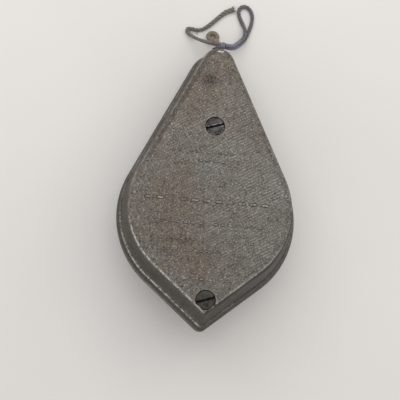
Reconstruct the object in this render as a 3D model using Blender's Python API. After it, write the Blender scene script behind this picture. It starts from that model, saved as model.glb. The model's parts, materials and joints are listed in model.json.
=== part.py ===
"""Chalk line reel: a cast two-part case with a crank reel inside and a knotted line at its nose.

Everything but the free line is laid out in the case frame: the origin is on the reel's axis in the
plane of the textured face, +X right, +Y towards the nose and +Z out of that face. The empty
case_frame then leans the case nose down, as it lies on its crank knob and its rear nose edge.
The free line lies on the floor and is laid out in the part's own frame.
"""

import math

import bmesh
import bpy
from mathutils import Vector

# Case outline, at its widest line
CASE_RADIUS = 0.0394
NOSE_RADIUS = 0.0111
NOSE_STEPS = 9
FLANK_ANGLE = math.radians(25.4)
TIP_ANGLE = math.radians(49.8)
TIP_ROUND = 0.0035
LEAST_ROUND = 0.0006

# Case section, as depths below the textured face and insets from the widest line
CASE_DEPTH = 0.0254
FACE_INSET = 0.0040
FACE_BEVEL = 0.0004
PARTING_DEPTH = 0.0143
PARTING_GAP = 0.0003
FRONT_RIM_INSET = 0.0019
REAR_RIM_INSET = 0.0013
WIDEST_DEPTH = 0.0186
REAR_FACE_INSET = 0.0046
FRONT_WALL = 0.0022
SIDE_WALL = 0.0020
REAR_WALL = 0.0034
TONGUE_HEIGHT = 0.0013

GAP = 0.0003  # clearance between touching pieces
SINK = 0.0010  # how far a boss or rib runs into the wall that it is joined to
PAST = 0.0050  # how far a cutter runs past what it cuts

# Case screws
UPPER_SCREW_Y = 0.0365
LOWER_SCREW_Y = -0.0403
SCREW_HEAD_RADIUS = 0.0040
SCREW_HEAD_HEIGHT = 0.0018
SCREW_TOP_DEPTH = 0.0001
SCREW_SHANK_RADIUS = 0.0021
SCREW_SLOT_WIDTH = 0.0011
SCREW_SLOT_DEPTH = 0.0009
SCREW_SLOT_ANGLE = math.radians(19)
SCREW_END_DEPTH = 0.0206
COUNTERBORE_DEPTH = 0.0022
BOSS_RADIUS = 0.0052
LOWER_BOSS_RADIUS = 0.0046
COUNTERBORE_BOSS_RADIUS = 0.0060
COUNTERBORE_BOSS_END = 0.0040

# Reel and shaft, as radii and depths below the face
SHAFT_RADIUS = 0.0025
SHAFT_START = 0.0029
SHAFT_END = 0.0316
SHAFT_HOLE = SHAFT_RADIUS + GAP
BUSH_RADIUS = 0.0043
CUP_RADIUS = 0.0065
FLANGE_RADIUS = 0.0300
FLANGE_THICKNESS = 0.0012
FRONT_FLANGE_DEPTH = 0.0060
REAR_FLANGE_DEPTH = 0.0190
HUB_RADIUS = 0.0090
WINDING_RADIUS = 0.0220
DRIVE_PIN_RADIUS = 0.0010
SEAL_RADIUS = 0.0085
BUSH_COLLAR_RADIUS = 0.0062

# Crank, opened so that its knob points away from the case; folded over, the knob clears the case
HINGE_DEPTH = 0.03575
HINGE_PIN_RADIUS = 0.0012
CRANK_HUB_RADIUS = 0.0080
CRANK_HUB_TOP = 0.0275
CRANK_HUB_FLOOR = 0.0320
FORK_INNER = 0.0028
FORK_OUTER = 0.0053
FORK_RADIUS = 0.0031
EYE_RADIUS = 0.0026
STOP_Y = (0.0042, 0.0066)
STOP_HALF_WIDTH = 0.0025
ARM_LENGTH = 0.0220
ARM_THICKNESS = 0.0024
ARM_WIDTH = 0.0080
ARM_SHOULDER_Y = (-0.0080, -0.0110)
KNOB_RADIUS = 0.0050
KNOB_END_DEPTH = 0.0458
RIVET_RADIUS = 0.0015
KNOB_SIDES = 24

# Filler door in the rear wall
DOOR_RECESS_DEPTH = 0.0020
DOOR_RECESS_HALF_WIDTH = 0.0093
DOOR_RECESS_Y = (0.0299, 0.0580)
DOOR_Y = (0.0420, 0.0575)
DOOR_HALF_WIDTH = 0.0062
DOOR_THICKNESS = 0.0008
DOOR_RIB_Y = 0.0535
DOOR_RIB_PITCH = 0.0022
DOOR_RIB_HALF_LENGTH = 0.0040
DOOR_RIB_HALF_WIDTH = 0.0005
DOOR_RIB_HEIGHT = 0.0008
FILLER_Y = (0.0437, 0.0557)
FILLER_HALF_WIDTH = 0.0050
GUIDE_BASE = (0.0065, 0.0090)
GUIDE_LIP_X = 0.0054
GUIDE_LIP = 0.0006
GUIDE_RIVET_X = 0.0078
GUIDE_RIVET_Y = (0.0340, 0.0540)
GUIDE_RIVET_HEAD = 0.0012
GUIDE_RIVET_SHANK = 0.0006
GUIDE_RIVET_HOLE = GUIDE_RIVET_SHANK + GAP
GUIDE_RIVET_SEAT = 0.0008

# Line and outlet
LINE_RADIUS = 0.0008
OUTLET_DEPTH = 0.0106
FERRULE_RADIUS = 0.0023
FERRULE_BORE = 0.00125
FERRULE_Y = (0.0706, 0.0771)
WIPER_Y = (0.0620, 0.0680)
WIPER_HALF_WIDTHS = (0.0058, 0.0034)
WIPER_DEPTHS = (0.0032, 0.0200)

# Free line, in the part's own frame: it drops from the knot at the ferrule and lies on the floor
KNOT_CENTRE = (-0.0001, 0.0657, 0.0117)
KNOT_HALF_WIDTH = 0.0023
KNOT_RADIUS = 0.0018
TAIL_RADIUS = 0.00085
TAIL_ROUTE = [
    (-0.0027, 0.0658, 0.0114),
    (-0.0052, 0.0667, 0.0092),
    (-0.0077, 0.0679, 0.0062),
    (-0.0099, 0.0692, 0.0036),
    (-0.0118, 0.0707, 0.0017),
    (-0.0131, 0.0720, 0.0009),
    (-0.0134, 0.0730, 0.0009),
    (-0.0126, 0.0736, 0.0009),
    (-0.0112, 0.0736, 0.0009),
    (-0.0096, 0.0734, 0.0009),
    (-0.0079, 0.0734, 0.0009),
    (-0.0062, 0.0739, 0.0009),
    (-0.0042, 0.0752, 0.0009),
    (-0.0019, 0.0773, 0.0009),
    (0.0012, 0.0804, 0.0009),
    (0.0038, 0.0827, 0.0009),
    (0.0060, 0.0838, 0.0009),
    (0.0075, 0.0845, 0.0009),
]
LOOP_RADIUS = 0.0008
LOOP_ROUTE = [
    (0.0026, 0.0651, 0.0108),
    (0.0050, 0.0646, 0.0093),
    (0.0083, 0.0653, 0.0064),
    (0.0115, 0.0678, 0.0034),
    (0.0139, 0.0713, 0.0017),
    (0.0154, 0.0751, 0.0009),
    (0.0163, 0.0789, 0.0009),
    (0.0163, 0.0823, 0.0009),
    (0.0149, 0.0851, 0.0009),
    (0.0126, 0.0863, 0.0009),
    (0.0106, 0.0854, 0.0009),
    (0.0099, 0.0833, 0.0009),
    (0.0107, 0.0806, 0.0009),
    (0.0122, 0.0779, 0.0011),
    (0.0134, 0.0749, 0.0021),
    (0.0130, 0.0716, 0.0034),
    (0.0107, 0.0686, 0.0052),
    (0.0077, 0.0661, 0.0082),
    (0.0049, 0.0654, 0.0111),
    (0.0026, 0.0658, 0.0125),
]
RING_CENTRE = (-0.0014, 0.0706, 0.0020)
RING_RADIUS = 0.0020
RING_SECTION = (0.0011, 0.0009)
RING_TILT = math.radians(21)
TIE_RADIUS = 0.0009
TIE_ROUTE = [
    (-0.0003, 0.0665, 0.0092),
    (-0.0005, 0.0667, 0.0075),
    (-0.0006, 0.0670, 0.0058),
    (-0.0007, 0.0673, 0.0045),
]

ACROSS = math.pi / 2
NOSE_CENTRE_Y = (CASE_RADIUS - NOSE_RADIUS) / math.sin(FLANK_ANGLE)


# Scene, materials and mesh helpers
def clear_scene():
    for thing in list(bpy.data.objects):
        bpy.data.objects.remove(thing, do_unlink=True)


def finish(name, colour, roughness, metallic):
    material = bpy.data.materials.new(name)
    material.use_nodes = True
    shader = material.node_tree.nodes["Principled BSDF"]
    shader.inputs["Base Color"].default_value = (*colour, 1.0)
    shader.inputs["Roughness"].default_value = roughness
    shader.inputs["Metallic"].default_value = metallic
    material.diffuse_color = (*colour, 1.0)
    return material


def add_object(name, mesh_source, material, parent, place=(0, 0, 0), turn=(0, 0, 0)):
    bmesh.ops.recalc_face_normals(mesh_source, faces=mesh_source.faces[:])
    mesh = bpy.data.meshes.new(name)
    mesh_source.to_mesh(mesh)
    mesh_source.free()
    mesh.shade_smooth()
    mesh.set_sharp_from_angle(angle=math.radians(30))
    piece = bpy.data.objects.new(name, mesh)
    bpy.context.collection.objects.link(piece)
    piece.location = place
    piece.rotation_euler = turn
    piece.parent = parent
    if material:
        mesh.materials.append(material)
    return piece


def skin(rings, closed=False):
    """A mesh over equal closed rings of points: capped at both ends, or joined last to first."""
    mesh = bmesh.new()
    loops = [[mesh.verts.new(point) for point in ring] for ring in rings]
    count = len(loops[0])
    pairs = list(zip(loops, loops[1:]))
    if closed:
        pairs.append((loops[-1], loops[0]))
    else:
        mesh.faces.new(loops[0])
        mesh.faces.new(loops[-1])
    for low, high in pairs:
        for i in range(count):
            j = (i + 1) % count
            mesh.faces.new((low[i], low[j], high[j], high[i]))
    return mesh


def circle(radius, height, sides):
    turn = 2 * math.pi / sides
    return [(radius * math.cos(i * turn), radius * math.sin(i * turn), height) for i in range(sides)]


def turned(profile, sides, hollow=False):
    """A solid turned about Z from (radius, height) pairs; a hollow one's profile is a closed loop."""
    return skin([circle(radius, height, sides) for radius, height in profile], closed=hollow)


def tube(inner, outer, low, high, sides):
    return turned([(outer, low), (outer, high), (inner, high), (inner, low)], sides, hollow=True)


def disc(radius, low, high, sides):
    return turned([(radius, low), (radius, high)], sides)


def extruded(outline, low, high):
    return skin([[(x, y, height) for x, y in outline] for height in (low, high)])


def block(x_range, y_range, z_range):
    (x0, x1), (y0, y1) = x_range, y_range
    return extruded([(x0, y0), (x1, y0), (x1, y1), (x0, y1)], *z_range)


def shape_with(body, tool, operation="DIFFERENCE"):
    """Cuts the tool out of the body, or joins it on, and hides the tool."""
    modifier = body.modifiers.new(tool.name, "BOOLEAN")
    modifier.operation = operation
    modifier.solver = "EXACT"
    modifier.object = tool
    tool.hide_render = True
    tool.display_type = "WIRE"


def arc_points(centre, radius, start, end, steps):
    turns = [start + (end - start) * i / steps for i in range(steps + 1)]
    return [(centre[0] + radius * math.cos(t), centre[1] + radius * math.sin(t)) for t in turns]


# Case
def case_outline(inset):
    """The case's outline this far inside its widest line, anticlockwise from the lower right."""
    radius = CASE_RADIUS - inset
    tip_round = max(TIP_ROUND - inset, LEAST_ROUND)
    nose = (0, NOSE_CENTRE_Y)
    tip = (0, -(radius - tip_round) / math.sin(TIP_ANGLE))
    half_turn = math.pi
    right = arc_points((0, 0), radius, -TIP_ANGLE, FLANK_ANGLE, 14)
    round_nose = arc_points(nose, NOSE_RADIUS - inset, FLANK_ANGLE, half_turn - FLANK_ANGLE, NOSE_STEPS)
    left = arc_points((0, 0), radius, half_turn - FLANK_ANGLE, half_turn + TIP_ANGLE, 14)
    round_tip = arc_points(tip, tip_round, half_turn + TIP_ANGLE, 2 * half_turn - TIP_ANGLE, 6)
    return right + round_nose + left + round_tip[1:-1]


def shell(section):
    """A cast half of the case, from (inset, depth) pairs: outer face, wall, rim and inner face."""
    return skin([[(x, y, -depth) for x, y in case_outline(inset)] for inset, depth in section])


def front_section():
    rim_depth = PARTING_DEPTH - PARTING_GAP
    inner_face_inset = FACE_INSET + SIDE_WALL
    return [
        (FACE_INSET + FACE_BEVEL, 0),
        (FACE_INSET, FACE_BEVEL),
        (FRONT_RIM_INSET, rim_depth),
        (FRONT_RIM_INSET + SIDE_WALL, rim_depth),
        (inner_face_inset, FRONT_WALL + 0.0010),
        (inner_face_inset + 0.0010, FRONT_WALL),
    ]


def rear_section():
    tongue_inset = FRONT_RIM_INSET + SIDE_WALL + GAP
    tongue_depth = PARTING_DEPTH - TONGUE_HEIGHT
    inner_depth = CASE_DEPTH - REAR_WALL
    return [
        (REAR_FACE_INSET, CASE_DEPTH),
        (REAR_FACE_INSET / 2, CASE_DEPTH - 0.0008),
        (REAR_FACE_INSET / 5, CASE_DEPTH - 0.0024),
        (0.0001, CASE_DEPTH - 0.0046),
        (0.0, WIDEST_DEPTH),
        (REAR_RIM_INSET, PARTING_DEPTH),
        (tongue_inset, PARTING_DEPTH),
        (tongue_inset, tongue_depth),
        (tongue_inset + 0.0011, tongue_depth),
        (tongue_inset + 0.0011, PARTING_DEPTH + 0.0012),
        (SIDE_WALL + 0.0006, PARTING_DEPTH + 0.0040),
        (SIDE_WALL + 0.0010, inner_depth - 0.0014),
        (SIDE_WALL + 0.0030, inner_depth),
    ]


def make_front_shell(frame, metal):
    body = add_object("front_shell", shell(front_section()), metal, frame)
    boss_start = FRONT_WALL - SINK
    boss_end = PARTING_DEPTH - GAP - 0.0005
    cup = disc(CUP_RADIUS, -FRONT_FLANGE_DEPTH + 0.0007, -boss_start, 32)
    shape_with(body, add_object("front_cup", cup, None, frame), "UNION")
    upper_boss = turned(
        [
            (BOSS_RADIUS, -boss_end),
            (BOSS_RADIUS, -COUNTERBORE_BOSS_END - 0.0006),
            (COUNTERBORE_BOSS_RADIUS, -COUNTERBORE_BOSS_END),
            (COUNTERBORE_BOSS_RADIUS, -boss_start),
        ],
        28,
    )
    lower_boss = disc(LOWER_BOSS_RADIUS, -boss_end, -boss_start, 28)
    for label, y, boss in (("upper", UPPER_SCREW_Y, upper_boss), ("lower", LOWER_SCREW_Y, lower_boss)):
        shape_with(body, add_object(f"front_{label}_boss", boss, None, frame, (0, y, 0)), "UNION")
    bush_seat = disc(BUSH_RADIUS + GAP, -FRONT_FLANGE_DEPTH - SINK, -FRONT_WALL, 32)
    shape_with(body, add_object("front_bush_seat", bush_seat, None, frame))
    for label, y in (("upper", UPPER_SCREW_Y), ("lower", LOWER_SCREW_Y)):
        hole = turned(
            [
                (SCREW_SHANK_RADIUS + GAP, -PARTING_DEPTH - PAST),
                (SCREW_SHANK_RADIUS + GAP, -COUNTERBORE_DEPTH),
                (SCREW_HEAD_RADIUS + GAP, -COUNTERBORE_DEPTH),
                (SCREW_HEAD_RADIUS + GAP, PAST),
            ],
            28,
        )
        shape_with(body, add_object(f"front_{label}_hole", hole, None, frame, (0, y, 0)))
    outlet = disc(FERRULE_RADIUS + GAP, -PAST, PAST, 24)
    place = (0, NOSE_CENTRE_Y + NOSE_RADIUS - PAST, -OUTLET_DEPTH)
    shape_with(body, add_object("outlet_hole", outlet, None, frame, place, (ACROSS, 0, 0)))


def make_rear_shell(frame, metal):
    body = add_object("rear_shell", shell(rear_section()), metal, frame)
    inner = CASE_DEPTH - REAR_WALL
    behind = -CASE_DEPTH - PAST
    bosses = (("upper", UPPER_SCREW_Y, BOSS_RADIUS), ("lower", LOWER_SCREW_Y, LOWER_BOSS_RADIUS))
    for label, y, radius in bosses:
        boss = disc(radius, -inner - SINK, -PARTING_DEPTH - 0.0002, 28)
        shape_with(body, add_object(f"rear_{label}_boss", boss, None, frame, (0, y, 0)), "UNION")
        hole = disc(SCREW_SHANK_RADIUS + GAP, -SCREW_END_DEPTH - 0.0006, -PARTING_DEPTH + PAST, 24)
        shape_with(body, add_object(f"rear_{label}_hole", hole, None, frame, (0, y, 0)))
    relief = disc(BOSS_RADIUS, -PARTING_DEPTH + 0.0001, -PARTING_DEPTH + PAST, 28)
    shape_with(body, add_object("tongue_relief", relief, None, frame, (0, LOWER_SCREW_Y, 0)))
    bush_hole = disc(BUSH_RADIUS + GAP, behind, -inner + PAST, 32)
    shape_with(body, add_object("rear_bush_hole", bush_hole, None, frame))
    half = DOOR_RECESS_HALF_WIDTH
    door_recess = block((-half, half), DOOR_RECESS_Y, (behind, -CASE_DEPTH + DOOR_RECESS_DEPTH))
    shape_with(body, add_object("door_recess", door_recess, None, frame))
    half = FILLER_HALF_WIDTH
    filler = block((-half, half), FILLER_Y, (behind, -inner + SINK))
    shape_with(body, add_object("filler_hole", filler, None, frame))
    rivet_floor = CASE_DEPTH - DOOR_RECESS_DEPTH - GUIDE_RIVET_SEAT
    for number, (x, y) in enumerate(guide_rivet_places(), 1):
        hole = disc(GUIDE_RIVET_HOLE, behind, -rivet_floor, 12)
        shape_with(body, add_object(f"shell_rivet_hole_{number}", hole, None, frame, (x, y, 0)))


def make_case_screw(name, y, frame, steel):
    shank_top = -SCREW_TOP_DEPTH - SCREW_HEAD_HEIGHT
    body = turned(
        [
            (SCREW_SHANK_RADIUS - 0.0005, -SCREW_END_DEPTH),
            (SCREW_SHANK_RADIUS, -SCREW_END_DEPTH + 0.0006),
            (SCREW_SHANK_RADIUS, shank_top),
            (SCREW_HEAD_RADIUS, shank_top),
            (SCREW_HEAD_RADIUS, -SCREW_TOP_DEPTH - 0.0002),
            (SCREW_HEAD_RADIUS - 0.0003, -SCREW_TOP_DEPTH),
        ],
        28,
    )
    screw = add_object(name, body, steel, frame, (0, y, 0))
    half_long, half_wide = SCREW_HEAD_RADIUS + 0.0010, SCREW_SLOT_WIDTH / 2
    slot_depths = (-SCREW_TOP_DEPTH - SCREW_SLOT_DEPTH, PAST)
    slot = block((-half_long, half_long), (-half_wide, half_wide), slot_depths)
    shape_with(screw, add_object(f"{name}_slot", slot, None, frame, (0, y, 0), (0, 0, SCREW_SLOT_ANGLE)))


# Outlet and the line inside
def make_outlet(frame, brass, felt):
    start, end = FERRULE_Y
    profile = [
        (FERRULE_BORE, start),
        (FERRULE_RADIUS + 0.0009, start),
        (FERRULE_RADIUS + 0.0009, start + 0.0007),
        (FERRULE_RADIUS, start + 0.0007),
        (FERRULE_RADIUS, end - 0.0003),
        (FERRULE_RADIUS - 0.0003, end),
        (FERRULE_BORE + 0.0004, end),
        (FERRULE_BORE, end - 0.0004),
    ]
    body = turned(profile, 24, hollow=True)
    add_object("outlet_ferrule", body, brass, frame, (0, 0, -OUTLET_DEPTH), (-ACROSS, 0, 0))
    (low_y, high_y), (low_half, high_half) = WIPER_Y, WIPER_HALF_WIDTHS
    outline = [(-low_half, low_y), (low_half, low_y), (high_half, high_y), (-high_half, high_y)]
    wiper = add_object("felt_wiper", extruded(outline, -WIPER_DEPTHS[1], -WIPER_DEPTHS[0]), felt, frame)
    hole = disc(LINE_RADIUS + GAP + 0.0001, WIPER_Y[0] - PAST, WIPER_Y[1] + PAST, 16)
    hole_turn = (-ACROSS, 0, 0)
    shape_with(wiper, add_object("wiper_hole", hole, None, frame, (0, 0, -OUTLET_DEPTH), hole_turn))


def smooth_route(points, spacing):
    """Points about this far apart on a smooth curve through the route's own points."""
    points = [Vector(point) for point in points]
    before = points[0] * 2 - points[1]
    after = points[-1] * 2 - points[-2]
    padded = [before, *points, after]
    curve = []
    for p0, p1, p2, p3 in zip(padded, padded[1:], padded[2:], padded[3:]):
        for step in range(12):
            t = step / 12
            curve.append(
                0.5 * (2 * p1 + (p2 - p0) * t + (2 * p0 - 5 * p1 + 4 * p2 - p3) * t**2
                       + (3 * p1 - p0 - 3 * p2 + p3) * t**3)
            )
    curve.append(points[-1])
    lengths = [0.0]
    for a, b in zip(curve, curve[1:]):
        lengths.append(lengths[-1] + (b - a).length)
    count = max(2, round(lengths[-1] / spacing))
    even, at = [], 0
    for i in range(count + 1):
        wanted = lengths[-1] * i / count
        while at < len(curve) - 2 and lengths[at + 1] < wanted:
            at += 1
        share = (wanted - lengths[at]) / (lengths[at + 1] - lengths[at])
        even.append(curve[at].lerp(curve[at + 1], share))
    return even


def add_line(name, route, radius, material, parent=None):
    """A length of line: a round tube along the route, with closed ends."""
    curve = bpy.data.curves.new(name, "CURVE")
    curve.dimensions = "3D"
    curve.bevel_depth = radius
    curve.bevel_resolution = 2
    curve.use_fill_caps = True
    spline = curve.splines.new("POLY")
    points = smooth_route(route, 5 * radius)
    spline.points.add(len(points) - 1)
    for slot, point in zip(spline.points, points):
        slot.co = (*point, 1.0)
    curve.materials.append(material)
    line = bpy.data.objects.new(name, curve)
    bpy.context.collection.objects.link(line)
    line.parent = parent


def make_inner_line(frame, string):
    """The line from where it leaves the winding, through the wiper and the ferrule."""
    reach = WINDING_RADIUS + LINE_RADIUS + GAP
    lead_y = WIPER_Y[0] - 0.0030
    turn = math.asin(reach / lead_y)
    start = (reach * math.cos(turn), reach * math.sin(turn), -OUTLET_DEPTH)
    near = (start[0] * 0.12, start[1] + (lead_y - start[1]) * 0.88, -OUTLET_DEPTH)
    route = [start, near, (0.0002, lead_y + 0.0022, -OUTLET_DEPTH)]
    route += [(0, y, -OUTLET_DEPTH) for y in (WIPER_Y[1], FERRULE_Y[0] + 0.0040, FERRULE_Y[1] - GAP)]
    add_line("line_lead", route, LINE_RADIUS, string, frame)
    low = REAR_FLANGE_DEPTH - GAP
    high = FRONT_FLANGE_DEPTH + FLANGE_THICKNESS + GAP
    winding = tube(HUB_RADIUS + GAP, WINDING_RADIUS, -low, -high, 48)
    add_object("line_winding", winding, string, frame)


def make_free_line(string, tan):
    """The knot at the ferrule with the tail, the loop and the small ring that are tied into it."""
    turns = [math.pi * i / 8 for i in range(9)]
    profile = [(KNOT_RADIUS * max(math.sin(t), 0.3), -KNOT_HALF_WIDTH * math.cos(t)) for t in turns]
    add_object("line_knot", turned(profile, 14), string, None, KNOT_CENTRE, (0, ACROSS, 0))
    add_line("line_tail", TAIL_ROUTE, TAIL_RADIUS, string)
    add_line("line_loop", LOOP_ROUTE, LOOP_RADIUS, string)
    half_width, half_height = RING_SECTION
    turns = [2 * math.pi * i / 10 for i in range(10)]
    section = [(RING_RADIUS + half_width * math.cos(t), half_height * math.sin(t)) for t in turns]
    ring = turned(section, 28, hollow=True)
    add_object("line_ring", ring, tan, None, RING_CENTRE, (-RING_TILT, 0, 0))
    add_line("ring_tie", TIE_ROUTE, TIE_RADIUS, tan)


# Reel and shaft
def make_reel(frame, steel, plate):
    barrel_start = FRONT_FLANGE_DEPTH + FLANGE_THICKNESS + GAP
    barrel_end = REAR_FLANGE_DEPTH - GAP
    middle = (barrel_start + barrel_end) / 2
    for name, depth in (("front_flange", FRONT_FLANGE_DEPTH), ("rear_flange", REAR_FLANGE_DEPTH)):
        body = tube(SHAFT_HOLE, FLANGE_RADIUS, -depth - FLANGE_THICKNESS, -depth, 64)
        add_object(name, body, plate, frame)
    hub = add_object("reel_hub", tube(SHAFT_HOLE, HUB_RADIUS, -barrel_end, -barrel_start, 32), plate, frame)
    pin_half = HUB_RADIUS - GAP
    sideways = (0, ACROSS, 0)
    hub_hole = disc(DRIVE_PIN_RADIUS + GAP, -HUB_RADIUS - PAST, HUB_RADIUS + PAST, 16)
    shape_with(hub, add_object("hub_pin_hole", hub_hole, None, frame, (0, 0, -middle), sideways))
    pin = disc(DRIVE_PIN_RADIUS, -pin_half, pin_half, 16)
    add_object("reel_drive_pin", pin, steel, frame, (0, 0, -middle), sideways)

    shaft = add_object("crank_shaft", disc(SHAFT_RADIUS, -SHAFT_END, -SHAFT_START, 24), steel, frame)
    crank_pin_depth = (CRANK_HUB_TOP + CRANK_HUB_FLOOR) / 2
    for name, depth in (("shaft_reel_hole", middle), ("shaft_crank_hole", crank_pin_depth)):
        hole = disc(DRIVE_PIN_RADIUS + GAP, -PAST, PAST, 16)
        shape_with(shaft, add_object(name, hole, None, frame, (0, 0, -depth), sideways))


def make_bearings(frame, brass, felt, steel):
    front = tube(SHAFT_HOLE, BUSH_RADIUS, -FRONT_FLANGE_DEPTH + GAP, -FRONT_WALL - GAP, 32)
    add_object("front_bush", front, brass, frame)
    face = CASE_DEPTH + GAP
    inner = CASE_DEPTH - REAR_WALL
    collar = face + 0.0008
    profile = [
        (SHAFT_HOLE, -inner),
        (BUSH_RADIUS, -inner),
        (BUSH_RADIUS, -face),
        (BUSH_COLLAR_RADIUS, -face),
        (BUSH_COLLAR_RADIUS, -collar),
        (SHAFT_HOLE, -collar),
    ]
    add_object("rear_bush", turned(profile, 32, hollow=True), brass, frame)
    flange_back = REAR_FLANGE_DEPTH + FLANGE_THICKNESS
    seal = tube(SHAFT_HOLE, SEAL_RADIUS, -inner + GAP, -flange_back - GAP, 32)
    add_object("seal_washer", seal, felt, frame)
    washer = tube(SHAFT_HOLE, BUSH_COLLAR_RADIUS, -CRANK_HUB_TOP + GAP, -collar - GAP, 32)
    add_object("wave_washer", washer, steel, frame)


# Crank
def hinge_frame(frame):
    """An empty on the crank's hinge axis, which runs along X."""
    empty = bpy.data.objects.new("crank_hinge_frame", None)
    bpy.context.collection.objects.link(empty)
    empty.parent = frame
    empty.location = (0, 0, -HINGE_DEPTH)
    return empty


def make_crank_hub(frame, hinge, steel):
    body = tube(SHAFT_HOLE, CRANK_HUB_RADIUS, -CRANK_HUB_FLOOR, -CRANK_HUB_TOP, 40)
    hub = add_object("crank_hub", body, steel, frame)
    root = HINGE_DEPTH - CRANK_HUB_FLOOR + SINK
    ear = [(FORK_RADIUS, root)] + arc_points((0, 0), FORK_RADIUS, 0, -math.pi, 10) + [(-FORK_RADIUS, root)]
    for label, side in (("left", -1), ("right", 1)):
        low, high = sorted((side * FORK_INNER, side * FORK_OUTER))
        ear_body = skin([[(x, y, z) for y, z in ear] for x in (low, high)])
        shape_with(hub, add_object(f"{label}_fork_ear", ear_body, None, hinge), "UNION")
    stop_top = HINGE_DEPTH - ARM_THICKNESS / 2 - GAP
    for label, side in (("working", -1), ("folded", 1)):
        y_range = sorted((side * STOP_Y[0], side * STOP_Y[1]))
        pad = block((-STOP_HALF_WIDTH, STOP_HALF_WIDTH), y_range, (-stop_top, -CRANK_HUB_FLOOR + SINK))
        shape_with(hub, add_object(f"{label}_stop", pad, None, frame), "UNION")
    sideways = (0, ACROSS, 0)
    reach = CRANK_HUB_RADIUS + PAST
    hinge_hole = disc(HINGE_PIN_RADIUS + GAP, -reach, reach, 20)
    shape_with(hub, add_object("fork_hole", hinge_hole, None, hinge, (0, 0, 0), sideways))
    pin_depth = (CRANK_HUB_TOP + CRANK_HUB_FLOOR) / 2
    cross_hole = disc(DRIVE_PIN_RADIUS + GAP, -reach, reach, 16)
    shape_with(hub, add_object("crank_pin_hole", cross_hole, None, frame, (0, 0, -pin_depth), sideways))
    half = CRANK_HUB_RADIUS - GAP
    cross_pin = disc(DRIVE_PIN_RADIUS, -half, half, 16)
    add_object("hub_cross_pin", cross_pin, steel, frame, (0, 0, -pin_depth), sideways)
    half = FORK_OUTER + 0.0007
    hinge_pin = disc(HINGE_PIN_RADIUS, -half, half, 20)
    add_object("crank_hinge_pin", hinge_pin, steel, hinge, (0, 0, 0), sideways)


def make_crank_arm(hinge, steel):
    """The arm lies along -Y from its eye on the hinge pin to the knob's rivet."""
    half_thick = ARM_THICKNESS / 2
    neck = FORK_INNER - GAP
    tip = arc_points((0, -ARM_LENGTH), ARM_WIDTH / 2, -math.pi, 0, 14)
    neck_end, wide_from = ARM_SHOULDER_Y
    outline = [(-neck, neck_end), (-neck, 0), (neck, 0), (neck, neck_end), (ARM_WIDTH / 2, wide_from)]
    outline += tip[::-1] + [(-ARM_WIDTH / 2, wide_from)]
    arm = add_object("crank_arm", extruded(outline, -half_thick, half_thick), steel, hinge)
    sideways = (0, ACROSS, 0)
    eye = add_object("arm_eye", disc(EYE_RADIUS, -neck, neck, 24), None, hinge, (0, 0, 0), sideways)
    shape_with(arm, eye, "UNION")
    pin_hole = disc(HINGE_PIN_RADIUS + GAP, -PAST, PAST, 20)
    shape_with(arm, add_object("arm_pin_hole", pin_hole, None, hinge, (0, 0, 0), sideways))
    rivet_hole = disc(RIVET_RADIUS + GAP, -PAST, PAST, 20)
    shape_with(arm, add_object("arm_rivet_hole", rivet_hole, None, hinge, (0, -ARM_LENGTH, 0)))


def make_knob(hinge, black, steel):
    """The knob turns on a rivet that is headed inside the knob's end and on the arm's inner side."""
    place = (0, -ARM_LENGTH, 0)
    half_thick = ARM_THICKNESS / 2
    start = -half_thick - GAP
    end = HINGE_DEPTH - KNOB_END_DEPTH
    bore = RIVET_RADIUS + GAP
    sink_radius, sink = 0.0031, end + 0.0016
    profile = [
        (bore, start),
        (KNOB_RADIUS - 0.0012, start),
        (KNOB_RADIUS - 0.0014, start - 0.0012),
        (KNOB_RADIUS - 0.0010, start - 0.0040),
        (KNOB_RADIUS - 0.0002, end + 0.0024),
        (KNOB_RADIUS, end + 0.0012),
        (KNOB_RADIUS, end + 0.0003),
        (KNOB_RADIUS - 0.0003, end),
        (sink_radius, end),
        (sink_radius, sink),
        (bore, sink),
    ]
    # Half a side's turn puts a flat of the rim towards the nose, where the case rests on it.
    turn = (0, 0, math.pi / KNOB_SIDES + ACROSS)
    add_object("crank_knob", turned(profile, KNOB_SIDES, hollow=True), black, hinge, place, turn)
    head_radius, head_top = sink_radius - GAP, end + 0.0004
    rivet = turned(
        [
            (head_radius - 0.0008, head_top),
            (head_radius, head_top + 0.0004),
            (head_radius, sink - GAP),
            (RIVET_RADIUS, sink - GAP),
            (RIVET_RADIUS, half_thick + GAP),
            (RIVET_RADIUS + 0.0010, half_thick + GAP),
            (RIVET_RADIUS + 0.0006, half_thick + 0.0011),
        ],
        20,
    )
    add_object("knob_rivet", rivet, steel, hinge, place)


# Filler door
def guide_rivet_places():
    return [(side * GUIDE_RIVET_X, y) for side in (-1, 1) for y in GUIDE_RIVET_Y]


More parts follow.
